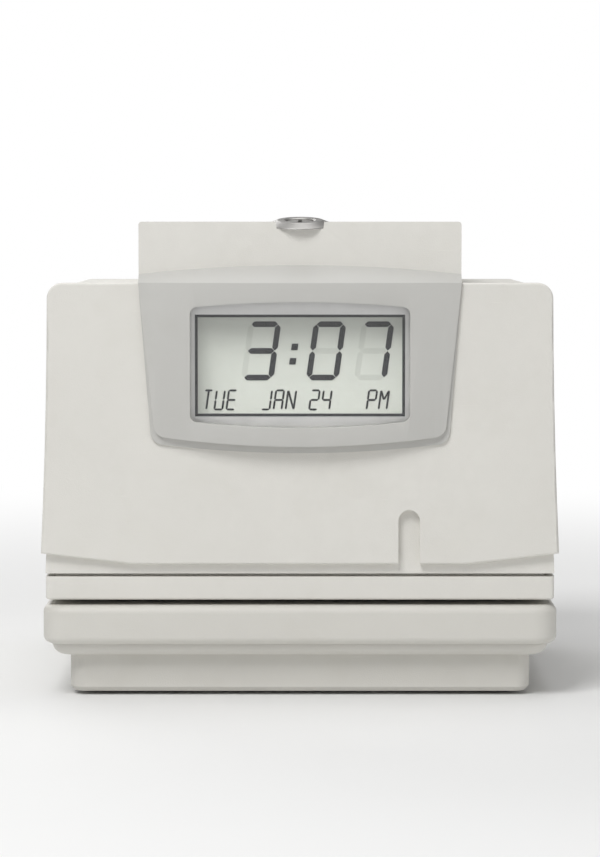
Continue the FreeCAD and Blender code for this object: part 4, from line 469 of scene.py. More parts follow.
def make_materials():
    """One material for each of the record's finishes, and those of the fine pieces."""
    tone, size = colours(), sizes()
    wear, grain, fine = size.wear, size.grain, size.fine_grain
    mouldings = {       # name, colour, cell, depth of the grain in mm, roughness, wear
        "case_plastic": ("case plastic", tone.case, grain, 0.045, 0.50, wear),
        "bezel_plastic": ("bezel plastic", tone.bezel, fine, 0.018, 0.42, wear * 0.8),
        "base_plastic": ("base plastic", tone.base, grain, 0.050, 0.54, wear * 1.2),
        "dark_plastic": ("black moulding", tone.black, grain, 0.030, 0.45, wear),
        "gear_nylon": ("gear plastic", tone.acetal, fine, 0.012, 0.38, wear * 0.6),
        "button_plastic": ("button plastic", BUTTON_BLACK, fine, 0.015, 0.40, wear),
    }
    for finish, (name, shade, cell, depth, roughness, worn) in mouldings.items():
        MATERIALS[finish] = moulded_plastic(name, shade, cell, depth * MM, roughness, worn)
    metals = {          # name, colour, stretch, scale, roughness, depth in mm, spotting
        "sheet_steel": ("plated sheet", tone.steel, ROLLED, 90.0, 0.38, 0.004, 0.12),
        "ground_steel": ("ground steel", tone.rod, DRAWN, 120.0, 0.24, 0.0015, 0.06),
        "bronze": ("sintered bronze", tone.bronze, POROUS, 700.0, 0.42, 0.010, 0.25),
        "motor_metal": ("motor can", tone.can, DRAWN, 80.0, 0.34, 0.002, 0.08),
        "lock_metal": ("satin nickel", tone.lock, EVEN, 900.0, 0.42, 0.0025, 0.05),
    }
    for finish, (name, shade, stretch, scale, roughness, depth, spotted) in metals.items():
        MATERIALS[finish] = metal(name, shade, stretch, scale, roughness, depth * MM, spotted)
    MATERIALS.update(
        rubber=rubber("rubber", tone.rubber),
        circuit_board=circuit_board("circuit board", tone.board, tone.copper),
        ribbon_fabric=inked_fabric("inked nylon", tone.ribbon),
        battery_sleeve=shrink_film("battery sleeve", tone.sleeve),
        shrink_black=shrink_film("capacitor sleeve", tone.black),
        lens_clear=clear_lens("clear lens", tone.lens),
        lcd_glass=display_ground("display ground", tone.reflector),
        # the material of the segments that are on also colours the painted shadow round the
        # read-out
        segment_on=liquid_crystal("driven segments and painted shadow", tone.segment, tone.reflector, 1.0),
        segment_off=liquid_crystal("idle segments", tone.segment, tone.reflector, IDLE),
    )


SLOTS = {part["node"]: part["material_slot"] for part in frame["record"]["subparts"]}


def dress(*nodes):
    """Gives CAD nodes the material of their slot in the record."""
    for name in nodes:
        target = frame["nodes"][name]
        target.data.materials.clear()
        target.data.materials.append(MATERIALS[SLOTS[name]])


# ---------------- surfaces

CREASE = math.radians(35.0)      # edges sharper than this stay sharp in the shading
ROUNDED = math.radians(32.0)     # edges of a softened node sharper than this are rounded
LEVEL = math.radians(0.3)        # its faces that meet at less than this are joined
ARC_SHARE = 0.45                 # the most that an arc may take of the run beside it
TINY = 1e-6


def place(mesh, material, body, smooth=True):
    """A piece from a ready mesh, riding on a body."""
    mesh.polygons.foreach_set("use_smooth", np.full(len(mesh.polygons), smooth))
    mesh.materials.append(MATERIALS[material])
    mesh.update()
    piece = bpy.data.objects.new(mesh.name, mesh)
    bpy.context.scene.collection.objects.link(piece)
    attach(piece, body)
    return piece


def mesh_piece(name, points, faces, material, body, smooth=True):
    """A closed piece from arrays of points and faces, with its faces turned outwards."""
    mesh = bpy.data.meshes.new(name)
    faces = [list(map(int, face)) for face in faces]
    mesh.from_pydata(np.reshape(points, (-1, 3)).tolist(), [], faces)
    work = bmesh.new()
    work.from_mesh(mesh)
    bmesh.ops.recalc_face_normals(work, faces=work.faces)
    work.to_mesh(mesh)
    work.free()
    piece = place(mesh, material, body, smooth)
    if smooth:
        mesh.set_sharp_from_angle(angle=CREASE)
    return piece


def grid_faces(rows, columns, close_rows=False, close_columns=False, start=0):
    """Four-sided faces of a grid of points. A closed way joins its last line to its first."""
    i, j = np.meshgrid(np.arange(rows if close_rows else rows - 1),
                       np.arange(columns if close_columns else columns - 1), indexing="ij")
    here, below = i.ravel() * columns, (i.ravel() + 1) % rows * columns
    j, beside = j.ravel(), (j.ravel() + 1) % columns
    return start + np.stack([here + j, below + j, below + beside, here + beside], 1)


def circle(count, offset=0.0):
    """Angles of equal steps round a circle."""
    return (np.arange(count) + offset) * TURN / count


def turned(profile, count, shape=1.0):
    """Rings about +Z. Point = (r f cos a, r f sin a, z) for each profile point (r, z) and each of
    count angles a. f, the shape, is the ratio of a row's outline to its circle."""
    profile = np.asarray(profile, float)
    angle = circle(count)
    radius = profile[:, :1] * np.ones(count) * shape
    z = np.repeat(profile[:, 1:], count, 1)
    return np.stack([radius * np.cos(angle), radius * np.sin(angle), z], -1)


def recess_shape(rows, outline):
    """Shape for turned rings whose last rows, of radius 1, follow an outline."""
    shape = np.ones((rows, len(outline)))
    return np.concatenate([shape[:-2], np.tile(outline, (2, 1))])


def cross_outline(count, reach, half):
    """Radius of a cross-shaped outline at each of count angles: with the angle a folded to within
    45 degrees of an arm, it is the lesser of reach / cos a and half / |sin a|."""
    folded = np.abs((circle(count) + TURN / 8.0) % (TURN / 4.0) - TURN / 8.0)
    return np.minimum(reach / np.cos(folded), half / np.maximum(np.sin(folded), TINY))


def slot_outline(count, half, reach):
    """Radius of a slot along Y at each of count angles: the lesser of half / |cos a| and
    reach / |sin a|."""
    angle = circle(count, 0.5)
    return np.minimum(half / np.maximum(np.abs(np.cos(angle)), TINY),
                      reach / np.maximum(np.abs(np.sin(angle)), TINY))


def rounded_profile(points, radius, steps=5):
    """A polyline whose inner corners become arcs of one radius, shortened where runs are short.
    Each arc runs from tangent point to tangent point as a quadratic blend through the corner."""
    points = np.asarray(points, float)
    out = [points[:1]]
    t = np.linspace(0.0, 1.0, steps)[:, None]
    for before, here, after in zip(points[:-2], points[1:-1], points[2:]):
        runs = [before - here, after - here]
        spans = [np.linalg.norm(run) for run in runs]
        cut = min(radius, *(ARC_SHARE * span for span in spans))
        a, b = (here + run / span * cut for run, span in zip(runs, spans))
        out.append((1 - t) ** 2 * a + 2 * t * (1 - t) * here + t ** 2 * b)
    out.append(points[-1:])
    return np.concatenate(out)


def face_left(points):
    """Points about +Z laid so that +Z points along -X."""
    return np.stack([-points[..., 2], points[..., 0], -points[..., 1]], -1)


def face_front(points):
    """Points about +Z laid so that +Z points along -Y, towards the machine's front."""
    return np.stack([points[..., 0], -points[..., 2], points[..., 1]], -1)


def capped(grid, start=0):
    """Points and faces of a solid from a grid of rings: each ring closes on itself, and the first
    and the last one are closed by a fan to their own middle."""
    rows, columns = grid.shape[:2]
    points = np.concatenate([grid.reshape(-1, 3), grid[:1].mean(1), grid[-1:].mean(1)])
    faces = grid_faces(rows, columns, close_columns=True, start=start).tolist()
    ring = np.arange(columns) + start
    after = np.roll(ring, -1)
    last = (rows - 1) * columns
    middle = np.full(columns, start + rows * columns)
    faces += np.stack([after, ring, middle], 1).tolist()
    faces += np.stack([ring + last, after + last, middle + 1], 1).tolist()
    return points, faces


def solids(name, grids, material, body, smooth=True):
    """One piece made of capped grids."""
    points, faces, start = [], [], 0
    for grid in grids:
        more_points, more_faces = capped(grid, start)
        points.append(more_points)
        faces += more_faces
        start += len(more_points)
    return mesh_piece(name, np.concatenate(points), faces, material, body, smooth)


def ring_loop(name, grid, material, body):
    """A ring-shaped piece from a grid that closes both round its axis and round its section."""
    faces = grid_faces(*grid.shape[:2], close_rows=True, close_columns=True)
    return mesh_piece(name, grid, faces, material, body)


CORNERS = np.array([[-1, -1], [0, -1], [1, -1], [1, 0], [1, 1], [0, 1], [-1, 1], [-1, 0]], float)


def box_rings(half_x, half_y, *levels):
    """Rings of a box about the origin: for each level (z, inset) a rectangle at the height z that
    is smaller by the inset on each side."""
    return np.stack([np.column_stack([CORNERS * (half_x - inset, half_y - inset), np.full(8, z)])
                     for z, inset in levels])


def slab_rings(half_x, half_y, z, bevel):
    """Rings of a flat box about the origin, with bevelled upper edges."""
    return box_rings(half_x, half_y, (0.0, 0.0), (z - bevel, 0.0), (z, bevel))


def softened(node, width, body, segments=3):
    """A copy of a CAD node with its sharp edges rounded: loose triangles are merged, level ones
    are joined, and a bevel takes each edge that is sharper than its limit."""
    work = bmesh.new()
    work.from_mesh(frame["nodes"][node].data)
    bmesh.ops.remove_doubles(work, verts=work.verts, dist=TINY)
    bmesh.ops.dissolve_limit(work, angle_limit=LEVEL, verts=work.verts,
                             edges=work.edges)
    mesh = bpy.data.meshes.new(node + "_rounded")
    work.to_mesh(mesh)
    work.free()
    piece = place(mesh, SLOTS[node], body)
    rounding = piece.modifiers.new("rounded edges", "BEVEL")
    rounding.width = width
    rounding.segments = segments
    rounding.limit_method = "ANGLE"
    rounding.angle_limit = ROUNDED
    rounding.harden_normals = True
    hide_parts(node)
    return piece


# ---------------- read-out

SEVEN = "abcdef bc abged abgcd fgbc afgcd afgedc abc abcdefg abcdfg".split()      # from 0 to 9
BARS = {"a": (0, 2, 1, 2), "b": (1, 2, 1, 1), "c": (1, 1, 1, 0), "d": (0, 0, 1, 0),
        "e": (0, 1, 0, 0), "f": (0, 2, 0, 1), "g": (0, 1, 1, 1)}
LETTERS = {"A": "abcefg", "E": "adefg", "J": "bcd", "P": "abefg", "U": "bcdef"}
SLOPED_LETTERS = {
    "M": ((0, 0, 0, 2), (0, 2, 0.5, 1), (0.5, 1, 1, 2), (1, 2, 1, 0)),
    "N": ((0, 0, 0, 2), (0, 2, 1, 0), (1, 0, 1, 2)),
    "T": ((0, 2, 1, 2), (0.5, 2, 0.5, 0)),
}
BAR_GAP = 0.10           # space left at a bar's end, as a share of the stroke
BAR_POINT = 0.12         # width of a bar's end, as a share of the stroke

# places in mm: x from the machine's middle, z from the table it stands on
READ_OUT = "3:07"
DIGIT_PLACES = (-17.9, 2.85, 18.15)
DIGIT_LOW = 102.4
COLON_X = -3.05
COLON_MIDDLE = 0.44      # height of the colon's middle and half its dots' distance, as shares of
COLON_STEP = 0.135       # the digits' height
COLON_DOT = 1.15         # side of a dot, as a share of the digits' stroke
DATE_ROW = (("TUE", -31.2), ("JAN", -12.3), ("24", 2.9), ("PM", 21.2))
ROW_LOW = 92.2
ROW_PITCH = 3.85
ROW_WIDTH = 0.66         # width of a letter, as a share of the pitch

# depths in mm, from the display's front to its back
SEGMENTS_DEPTH = 0.40
GROUND_DEPTH = 0.55
IDLE_DEPTH = 0.53
FILM = 0.03
IDLE_FILM = 0.015

FRAME_RIM = 5.0
# visible width of the painted shadow: a dark band in the segments' colour just inside the frame,
# in place of the shade that the frame's inner edge casts
PAINTED_SHADOW = 0.9
PAINTED_SHADOW_HIDDEN = 1.5      # how far the painted shadow's band reaches under the frame


def bars_of(sign):
    """The bars of a digit or letter, as end points on a lattice one wide and two high."""
    if sign in SLOPED_LETTERS:
        return SLOPED_LETTERS[sign]
    return [BARS[bar] for bar in (SEVEN[int(sign)] if sign.isdigit() else LETTERS[sign])]


def bar_grid(ends, stroke):
    """A flat bar with pointed ends. Along the bar the half width grows from nearly nought to half
    the stroke over half a stroke, stays level, and falls again; across it runs from edge to
    edge."""
    start, run = ends[:2], ends[2:] - ends[:2]
    span = np.linalg.norm(run)
    way = run / span
    side = np.array([-way[1], way[0]])
    gap, half = BAR_GAP * stroke, stroke / 2.0
    along = np.array([gap, gap + half, span - gap - half, span - gap])
    width = np.array([BAR_POINT, 1.0, 1.0, BAR_POINT]) * half
    middle = start + along[:, None] * way
    return middle[:, None] + np.array([-1.0, 1.0])[None, :, None] * width[:, None, None] * side


def leaning(grid, x, z):
    """Flat points moved to a place and leaning with height: x grows by z tan(slant)."""
    across = grid[..., 0] + grid[..., 1] * math.tan(sizes().slant)
    return np.stack([across + x, grid[..., 1] + z], -1)


def sign_grids(sign, left, low, width, height, stroke):
    """The bars of one sign in the plane of the display."""
    scale = np.array([width, height / 2.0, width, height / 2.0])
    return [leaning(bar_grid(ends * scale, stroke), left, low) for ends in bars_of(sign)]


def digit_grids(text):
    """The large digits: hour, then two minute digits."""
    size = sizes()
    grids = []
    for sign, left in zip(filter(str.isdigit, text), DIGIT_PLACES):
        grids += sign_grids(sign, left * MM, DIGIT_LOW * MM, size.digit_width,
                            size.digit_height, size.digit_stroke)
    return grids


def colon_grids():
    """The colon between hours and minutes: two square dots that lean like the digits."""
    size = sizes()
    dot = np.array([[[-1, -1], [-1, 1]], [[1, -1], [1, 1]]]) * COLON_DOT * size.digit_stroke / 2.0
    heights = [size.digit_height * (COLON_MIDDLE + side * COLON_STEP) for side in (-1, 1)]
    return [leaning(dot + (0.0, up), COLON_X * MM, DIGIT_LOW * MM) for up in heights]


def row_grids():
    """The date row: weekday, month, day and half of the day."""
    size = sizes()
    grids = []
    for word, left in DATE_ROW:
        for index, sign in enumerate(word):
            grids += sign_grids(sign, (left + index * ROW_PITCH) * MM, ROW_LOW * MM,
                                ROW_PITCH * ROW_WIDTH * MM, size.row_height, size.row_stroke)
    return grids


def plane_piece(name, grids, y, thick, material, body):
    """Flat shapes at one depth, each given a thickness towards the back and closed all round."""
    points, faces, start = [], [], 0
    for grid in grids:
        rows, columns = grid.shape[:2]
        flat = grid.reshape(-1, 2)
        count = len(flat)
        front = np.stack([flat[:, 0], np.full(count, y), flat[:, 1]], 1)
        points += [front, front + [0, thick, 0]]
        here = grid_faces(rows, columns, start=start)
        end = (rows - 1) * columns
        rim = np.concatenate([np.arange(rows) * columns, end + np.arange(1, columns),
                              np.arange(rows - 2, -1, -1) * columns + columns - 1,
                              np.arange(columns - 2, 0, -1)]) + start
        after = np.roll(rim, -1)
        faces += [here, here[:, ::-1] + count,
                  np.stack([after, after + count, rim + count, rim], 1)]
        start += 2 * count
    return mesh_piece(name, np.concatenate(points), np.concatenate(faces), material, body,
                      smooth=False)


def painted_shadow_grid(half, low, high, width, y, thick):
    """Rings of the painted shadow, a flat dark band round the read-out: the outer and the inner
    rectangle, in front and behind."""
    rows = []
    for inset, depth in ((0.0, 0.0), (width, 0.0), (width, thick), (0.0, thick)):
        x, y_here = half - inset, y + depth
        rows.append([[-x, y_here, low + inset], [x, y_here, low + inset],
                     [x, y_here, high - inset], [-x, y_here, high - inset]])
    return np.array(rows)


class STAMP_OT_read_out(bpy.types.Operator):
    """Display with its reflector, a painted shadow round its edge, and its segments, on and idle
    """
    bl_idname = "stamp.read_out"
    bl_label = "Read-out"

    def execute(self, context):
        low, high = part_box("lcd_module")
        ground = low.y + GROUND_DEPTH * MM
        segments = low.y + SEGMENTS_DEPTH * MM
        sheet = np.stack(np.meshgrid([low.x, high.x], [low.z, high.z], indexing="ij"), -1)
        back = plane_piece("display_reflector", [sheet], ground, high.y - ground,
                           "lcd_glass", "base")
        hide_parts("lcd_module")
        plane_piece("display_digits", digit_grids(READ_OUT) + colon_grids(), segments,
                    FILM * MM, "segment_on", "base")
        plane_piece("display_date_row", row_grids(), segments, FILM * MM,
                    "segment_on", "base")
        plane_piece("display_idle_segments", digit_grids("888"), low.y + IDLE_DEPTH * MM,
                    IDLE_FILM * MM, "segment_off", "base")
        # A dark band just inside the frame's opening, in the colour of the segments that are on:
        # painted shadow of the frame's inner edge, laid where a display has its printed border.
        outer_low, outer_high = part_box("lcd_frame")
        inset = (FRAME_RIM - PAINTED_SHADOW_HIDDEN) * MM
        painted_shadow = painted_shadow_grid(outer_high.x - inset, outer_low.z + inset, outer_high.z - inset,
                             (PAINTED_SHADOW + PAINTED_SHADOW_HIDDEN) * MM, segments, FILM * MM)
        ring_loop("display_painted_shadow", painted_shadow, "segment_on", "base")
        dress("lcd_frame")
        return {"FINISHED"}


# ---------------- case and lock

BEZEL_ROUND = 0.45


class STAMP_OT_case(bpy.types.Operator):
    """Cover, fascia, bezel, deck, lower case, tray, feet and power inlet"""
    bl_idname = "stamp.case"
    bl_label = "Case"

    def execute(self, context):
        dress("cover_shell", "front_fascia", "throat_deck", "lower_case", "base_tray",
              "rubber_feet", "power_jack")
        softened("display_bezel", BEZEL_ROUND * MM, "cover")
        return {"FINISHED"}


CROSS_REACH = 0.50       # length of an arm and half its width, as shares of the head's radius
CROSS_HALF = 0.13
CROSS_COUNT = 72


def cross_screw(head_r, head, shank_r, length):
    """Rings of a screw about +Z whose head's under side lies at 0 and whose tip points down.
    The crowned head falls from its rim into a cross-shaped recess. Sizes in mm."""
    deep = 0.6 * head
    profile = [(0.3 * shank_r, -length), (shank_r, -length + 0.8 * shank_r), (shank_r, 0.0),
               (head_r, 0.0), (head_r, 0.35 * head), (0.95 * head_r, 0.62 * head),
               (0.82 * head_r, 0.85 * head), (0.62 * head_r, 0.98 * head), (1.0, head),
               (1.0, head - 0.4 * deep), (0.8, head - deep)]
    shape = np.ones((len(profile), CROSS_COUNT))
    shape[-3:] = cross_outline(CROSS_COUNT, CROSS_REACH * head_r, CROSS_HALF * head_r)
    return turned(profile, CROSS_COUNT, shape) * MM


CASE_HEAD = (3.0, 2.0, 1.5)      # head's radius and height, shank's radius
BASE_SCREW_LENGTH = 19.0
DECK_SCREW_LENGTH = 9.0
BASE_SCREWS = ((-66.0, -52.0), (-66.0, 58.0), (66.0, -52.0), (66.0, 58.0))
DECK_SCREWS = ((-72.5, 12.0), (-72.5, 66.0), (72.5, 12.0), (72.5, 66.0))
UPSIDE_DOWN = (1.0, -1.0, -1.0)


class STAMP_OT_screws(bpy.types.Operator):
    """Case screws with crowned heads and cross recesses"""
    bl_idname = "stamp.screws"
    bl_label = "Screws"

    def execute(self, context):
        low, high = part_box("case_screws")
        head = CASE_HEAD[1] * MM
        up = cross_screw(*CASE_HEAD, DECK_SCREW_LENGTH)
        down = cross_screw(*CASE_HEAD, BASE_SCREW_LENGTH) * UPSIDE_DOWN
        grids = [down + (x * MM, y * MM, low.z + head) for x, y in BASE_SCREWS]
        grids += [up + (x * MM, y * MM, high.z - head) for x, y in DECK_SCREWS]
        piece = solids("case_screws_cross", grids, "sheet_steel", "base")
        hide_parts("case_screws")
        return {"FINISHED"}


class STAMP_OT_window(bpy.types.Operator):
    """Clear lens in the bezel"""
    bl_idname = "stamp.window"
    bl_label = "Window"

    def execute(self, context):
        dress("window_lens")
        return {"FINISHED"}


LOCK_LEAN = math.radians(8.0)    # the lock leans forward with the hood's front edge
LOCK_SEAT = (0.0, -0.05935, 0.1509)
LOCK_COUNT = 96
LOCK_ROUND = 0.22
HOUSING = ((4.55, -14.0), (6.0, -14.0), (6.0, -5.05), (5.2, -5.05), (5.2, -3.45), (6.0, -3.45),
           (6.0, 0.0), (10.75, 0.0), (10.7, 0.3), (7.6, 1.5), (7.3, 1.68), (5.0, 1.68),
           (4.55, 1.35))         # radius and height above the seat, in mm
PLUG = ((2.3, -17.0), (2.5, -16.8), (2.5, -14.0), (4.5, -14.0), (4.5, 0.85), (4.2, 1.15),
        (3.6, 1.2), (1.0, 1.2), (1.0, -6.8))
KEY_SLOT = (0.6, 3.0)            # half its width and half its length


def lean_to_lock(points):
    """Points about the origin turned to the lock's leaning axis and moved to its seat."""
    c, s = math.cos(LOCK_LEAN), math.sin(LOCK_LEAN)
    turn = np.array([[1, 0, 0], [0, c, -s], [0, s, c]])
    return points @ turn.T + np.asarray(LOCK_SEAT)


class STAMP_OT_lock(bpy.types.Operator):
    """Cam lock: housing, plug, cam and clip"""
    bl_idname = "stamp.lock"
    bl_label = "Lock"

    def execute(self, context):
        dress("lock_cam", "lock_clip")
        shell = turned(rounded_profile(HOUSING, LOCK_ROUND) * MM, LOCK_COUNT)
        piece = ring_loop("lock_housing_turned", lean_to_lock(shell), "lock_metal", "cover")
        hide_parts("lock_housing")
        shape = recess_shape(len(PLUG), slot_outline(LOCK_COUNT, *KEY_SLOT))
        plug = turned(np.array(PLUG) * MM, LOCK_COUNT, shape)
        piece = solids("lock_plug_keyed", [lean_to_lock(plug)], "lock_metal", "lock_core")
        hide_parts("lock_plug")
        return {"FINISHED"}


# ---------------- mechanism

class STAMP_OT_plates(bpy.types.Operator):
    """Sheet steel frame of the mechanism"""
    bl_idname = "stamp.plates"
    bl_label = "Frame plates"

    def execute(self, context):
        dress("side_plate_left", "side_plate_right", "tie_bar", "rod_clips", "display_bracket",
              "latch_striker", "trigger_bracket", "platen_holder", "ribbon_mask")
        return {"FINISHED"}


MOTOR_HEAD = (1.9, 0.8, 1.0)     # head's radius and height, shank's radius
MOTOR_SCREW_LENGTH = 4.5


class STAMP_OT_feed(bpy.types.Operator):
    """Feed drive: rods, grooved lead screw, gears, bushings and motor"""
    bl_idname = "stamp.feed"
    bl_label = "Feed drive"

    def execute(self, context):
        dress("front_guide_rod", "rear_guide_rod", "screw_bushings", "feed_motor", "motor_shaft",
              "motor_pinion", "screw_gear")
        piece = solids("lead_screw_grooved", [grooved_screw()], "ground_steel", "feed_screw")
        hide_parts("lead_screw")
        low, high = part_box("small_screws")
        screw = face_left(cross_screw(*MOTOR_HEAD, MOTOR_SCREW_LENGTH))
        radius, head = MOTOR_HEAD[0] * MM, MOTOR_HEAD[1] * MM
        grids = [screw + (low.x + head, y, z) for y, z in
                 ((low.y + radius, low.z + radius), (high.y - radius, high.z - radius))]
        piece = solids("motor_screws_cross", grids, "ground_steel", "base")
        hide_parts("small_screws")
        return {"FINISHED"}


SCREW_RADIUS = 4.0 * MM
JOURNAL = 2.5 * MM
THREAD_LEFT, THREAD_RIGHT = -62.5 * MM, 66.0 * MM
THREAD_STEPS = 480
THREAD_COUNT = 72
END_CHAMFER = 0.3 * MM
SHOULDER_CHAMFER = 0.4 * MM
GROOVE_FADE = 5.0 * MM
GROOVE_REST = 0.4                # share of the fade, next to a journal, that has no groove yet
GROOVE_EDGE = 5.0                # steepness of the groove's flanks
GROOVE_SHARE = 0.45              # cosine at which the flanks stand


def grooved_screw():
    """Rings of the lead screw. Its radius is R - d g, where g rises from 0 to 1 and back once for
    each start as the angle plus TURN x / lead goes round, and fades out near the journals."""
    size = sizes()
    low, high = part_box("lead_screw")
    x = np.linspace(THREAD_LEFT, THREAD_RIGHT, THREAD_STEPS)
    angle = circle(THREAD_COUNT)
    phase = size.groove_starts * (angle[None] + TURN * x[:, None] / size.groove_lead)
    groove = 0.5 + 0.5 * np.tanh(GROOVE_EDGE * (np.cos(phase) - GROOVE_SHARE))
    fade = np.minimum(x - THREAD_LEFT, THREAD_RIGHT - x) / GROOVE_FADE - GROOVE_REST
    r = SCREW_RADIUS - size.groove_depth * groove * np.clip(fade, 0.0, 1.0)[:, None]
    r[0] = r[-1] = SCREW_RADIUS - SHOULDER_CHAMFER
    ends = [JOURNAL - END_CHAMFER, JOURNAL, JOURNAL]
    x = np.concatenate([[low.x, low.x + END_CHAMFER, THREAD_LEFT], x,
                        [THREAD_RIGHT, high.x - END_CHAMFER, high.x]])
    r = np.concatenate([np.repeat([[e] for e in ends], THREAD_COUNT, 1), r,
                        np.repeat([[e] for e in ends[::-1]], THREAD_COUNT, 1)])
    middle = 0.5 * (low + high)
    return np.stack([np.repeat(x[:, None], THREAD_COUNT, 1), middle.y + r * np.cos(angle),
                     middle.z + r * np.sin(angle)], -1)


class STAMP_OT_carriage(bpy.types.Operator):
    """Carriage with its bushings, follower and print head"""
    bl_idname = "stamp.carriage"
    bl_label = "Carriage"

    def execute(self, context):
        dress("carriage", "carriage_bushings", "screw_follower", "print_head", "home_sensor")
        return {"FINISHED"}


class STAMP_OT_ribbon(bpy.types.Operator):
    """Ribbon cartridge, inked band, spindle, gears and ribbon motor"""
    bl_idname = "stamp.ribbon"
    bl_label = "Ribbon"

    def execute(self, context):
        dress("ribbon_cartridge", "ink_ribbon", "ribbon_spindle", "ribbon_gear", "ribbon_motor",
              "ribbon_pinion")
        return {"FINISHED"}


class STAMP_OT_throat(bpy.types.Operator):
    """Platen, depth stop and paper trigger"""
    bl_idname = "stamp.throat"
    bl_label = "Throat"

    def execute(self, context):
        dress("platen_pad", "depth_stop", "trigger_lever", "trigger_pin", "trigger_switch")
        return {"FINISHED"}


# ---------------- electrics

# the main board's front, lowest edge, height and half width
BOARD_FRONT, BOARD_LOW, BOARD_HEIGHT, BOARD_HALF = 0.048, 0.034, 0.078, 0.058

# each part's place starts with x as a share of the half width and z as a share of the height;
# then, in mm: half width, half height, legs on the long sides, legs on the short sides
CHIPS = ((-0.69, 0.46, 14.0, 8.0, 11, 6), (-0.14, 0.64, 9.0, 9.0, 7, 7),
         (0.38, 0.31, 6.0, 5.0, 4, 0))
HEADERS = ((-0.79, 0.82, 5.0, 3), (-0.31, 0.90, 8.0, 6), (0.24, 0.90, 10.0, 8))   # half, pins
CAPACITORS = ((0.72, 0.36, 5.0, 12.0), (0.72, 0.56, 5.0, 12.0), (0.48, 0.54, 3.2, 8.0))
SOUNDER = (0.76, 0.82, 7.0, 6.0)                                              # radius, height

LEG_REACH = 1.2 * MM
LEG_THICK = 0.9 * MM
LEG_HIDDEN = 0.3 * MM            # how far a leg reaches into the chip's body
LEG_HALF = 0.30 * MM
CHIP_HEIGHT, CHIP_BEVEL, CHIP_LIFT = 2.2 * MM, 0.35 * MM, 0.3 * MM
DIMPLE_R, DIMPLE_DEPTH, DIMPLE_INSET = 0.5 * MM, 0.04 * MM, 1.3 * MM
HEADER_HALF, HEADER_HEIGHT, HEADER_WALL, HEADER_FLOOR = 3.0 * MM, 7.0 * MM, 0.7 * MM, 1.2 * MM
HEADER_END = 1.0                 # free length at each end of a header, in mm
PIN_HALF, PIN_HEIGHT = 0.32 * MM, 6.2 * MM
PIN_BEVEL = 0.2                  # as a share of the pin's height
DIMPLE_COUNT = 24
SCORE_REACH, SCORE_HALF = 0.65, 0.15     # a can's score: share of its radius, and mm
CAP_ROUND, SOUNDER_ROUND = 0.3, 0.4
CAP_COUNT = 48
SOUNDER_COUNT = 64


def on_board(points, across, up):
    """Points about +Z brought to a place on the main board's front, +Z away from the board."""
    return face_front(points) + (across * BOARD_HALF, BOARD_FRONT, BOARD_LOW + up * BOARD_HEIGHT)


def pin_row(count, pitch, half, start, end, thick, along_x=True):
    """Small bevelled pins side by side: each one a flat box from start to end across the row."""
    middle, reach = (start + end) / 2.0, abs(end - start) / 2.0
    grids = []
    for index in range(count):
        at = (index - (count - 1) / 2.0) * pitch
        size, spot = ((half, reach), (at, middle)) if along_x else ((reach, half), (middle, at))
        grids.append(slab_rings(*size, thick, PIN_BEVEL * thick) + (*spot, 0.0))
    return grids


def chips():
    """Chips with bevelled bodies, a dimple at the first pin and tinned legs round their sides."""
    bodies, legs = [], []
    for across, up, half_x, half_z, on_long, on_short in CHIPS:
        half_x, half_z = half_x * MM, half_z * MM
        inner_x = half_x - (LEG_REACH if on_short else 0.0)
        inner_z = half_z - LEG_REACH
        body = slab_rings(inner_x, inner_z, CHIP_HEIGHT, CHIP_BEVEL) + (0.0, 0.0, CHIP_LIFT)
        bodies.append(on_board(body, across, up))
        dimple = turned([(DIMPLE_R, 0.0), (DIMPLE_R, DIMPLE_DEPTH)], DIMPLE_COUNT)
        dimple = dimple + (DIMPLE_INSET - inner_x, inner_z - DIMPLE_INSET,
                           CHIP_LIFT + CHIP_HEIGHT)
        bodies.append(on_board(dimple, across, up))
        for side in (-1, 1):
            rows = pin_row(on_long, 2 * inner_x / (on_long + 1), LEG_HALF,
                           side * (inner_z - LEG_HIDDEN), side * half_z, LEG_THICK)
            if on_short:
                rows += pin_row(on_short, 2 * inner_z / (on_short + 1), LEG_HALF,
                                side * (inner_x - LEG_HIDDEN), side * half_x, LEG_THICK,
                                along_x=False)
            legs += [on_board(pin, across, up) for pin in rows]
    piece = solids("board_chips", bodies, "dark_plastic", "base", smooth=False)
    solids("board_chip_legs", legs, "ground_steel", "base", smooth=False)
    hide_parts("board_parts")


def headers():
    """Plug headers: open trays with rows of square pins."""
    trays, pins = [], []
    for across, up, half, ways in HEADERS:
        tray = box_rings(half * MM, HEADER_HALF, (0.0, 0.0), (HEADER_HEIGHT, 0.0),
                         (HEADER_HEIGHT, HEADER_WALL), (HEADER_FLOOR, HEADER_WALL))
        trays.append(on_board(tray, across, up))
        row = pin_row(ways, 2 * (half - HEADER_END) * MM / ways, PIN_HALF, -PIN_HALF, PIN_HALF,
                      PIN_HEIGHT)
        pins += [on_board(pin, across, up) for pin in row]
    solids("board_headers", trays, "gear_nylon", "base", smooth=False)
    solids("board_header_pins", pins, "ground_steel", "base", smooth=False)


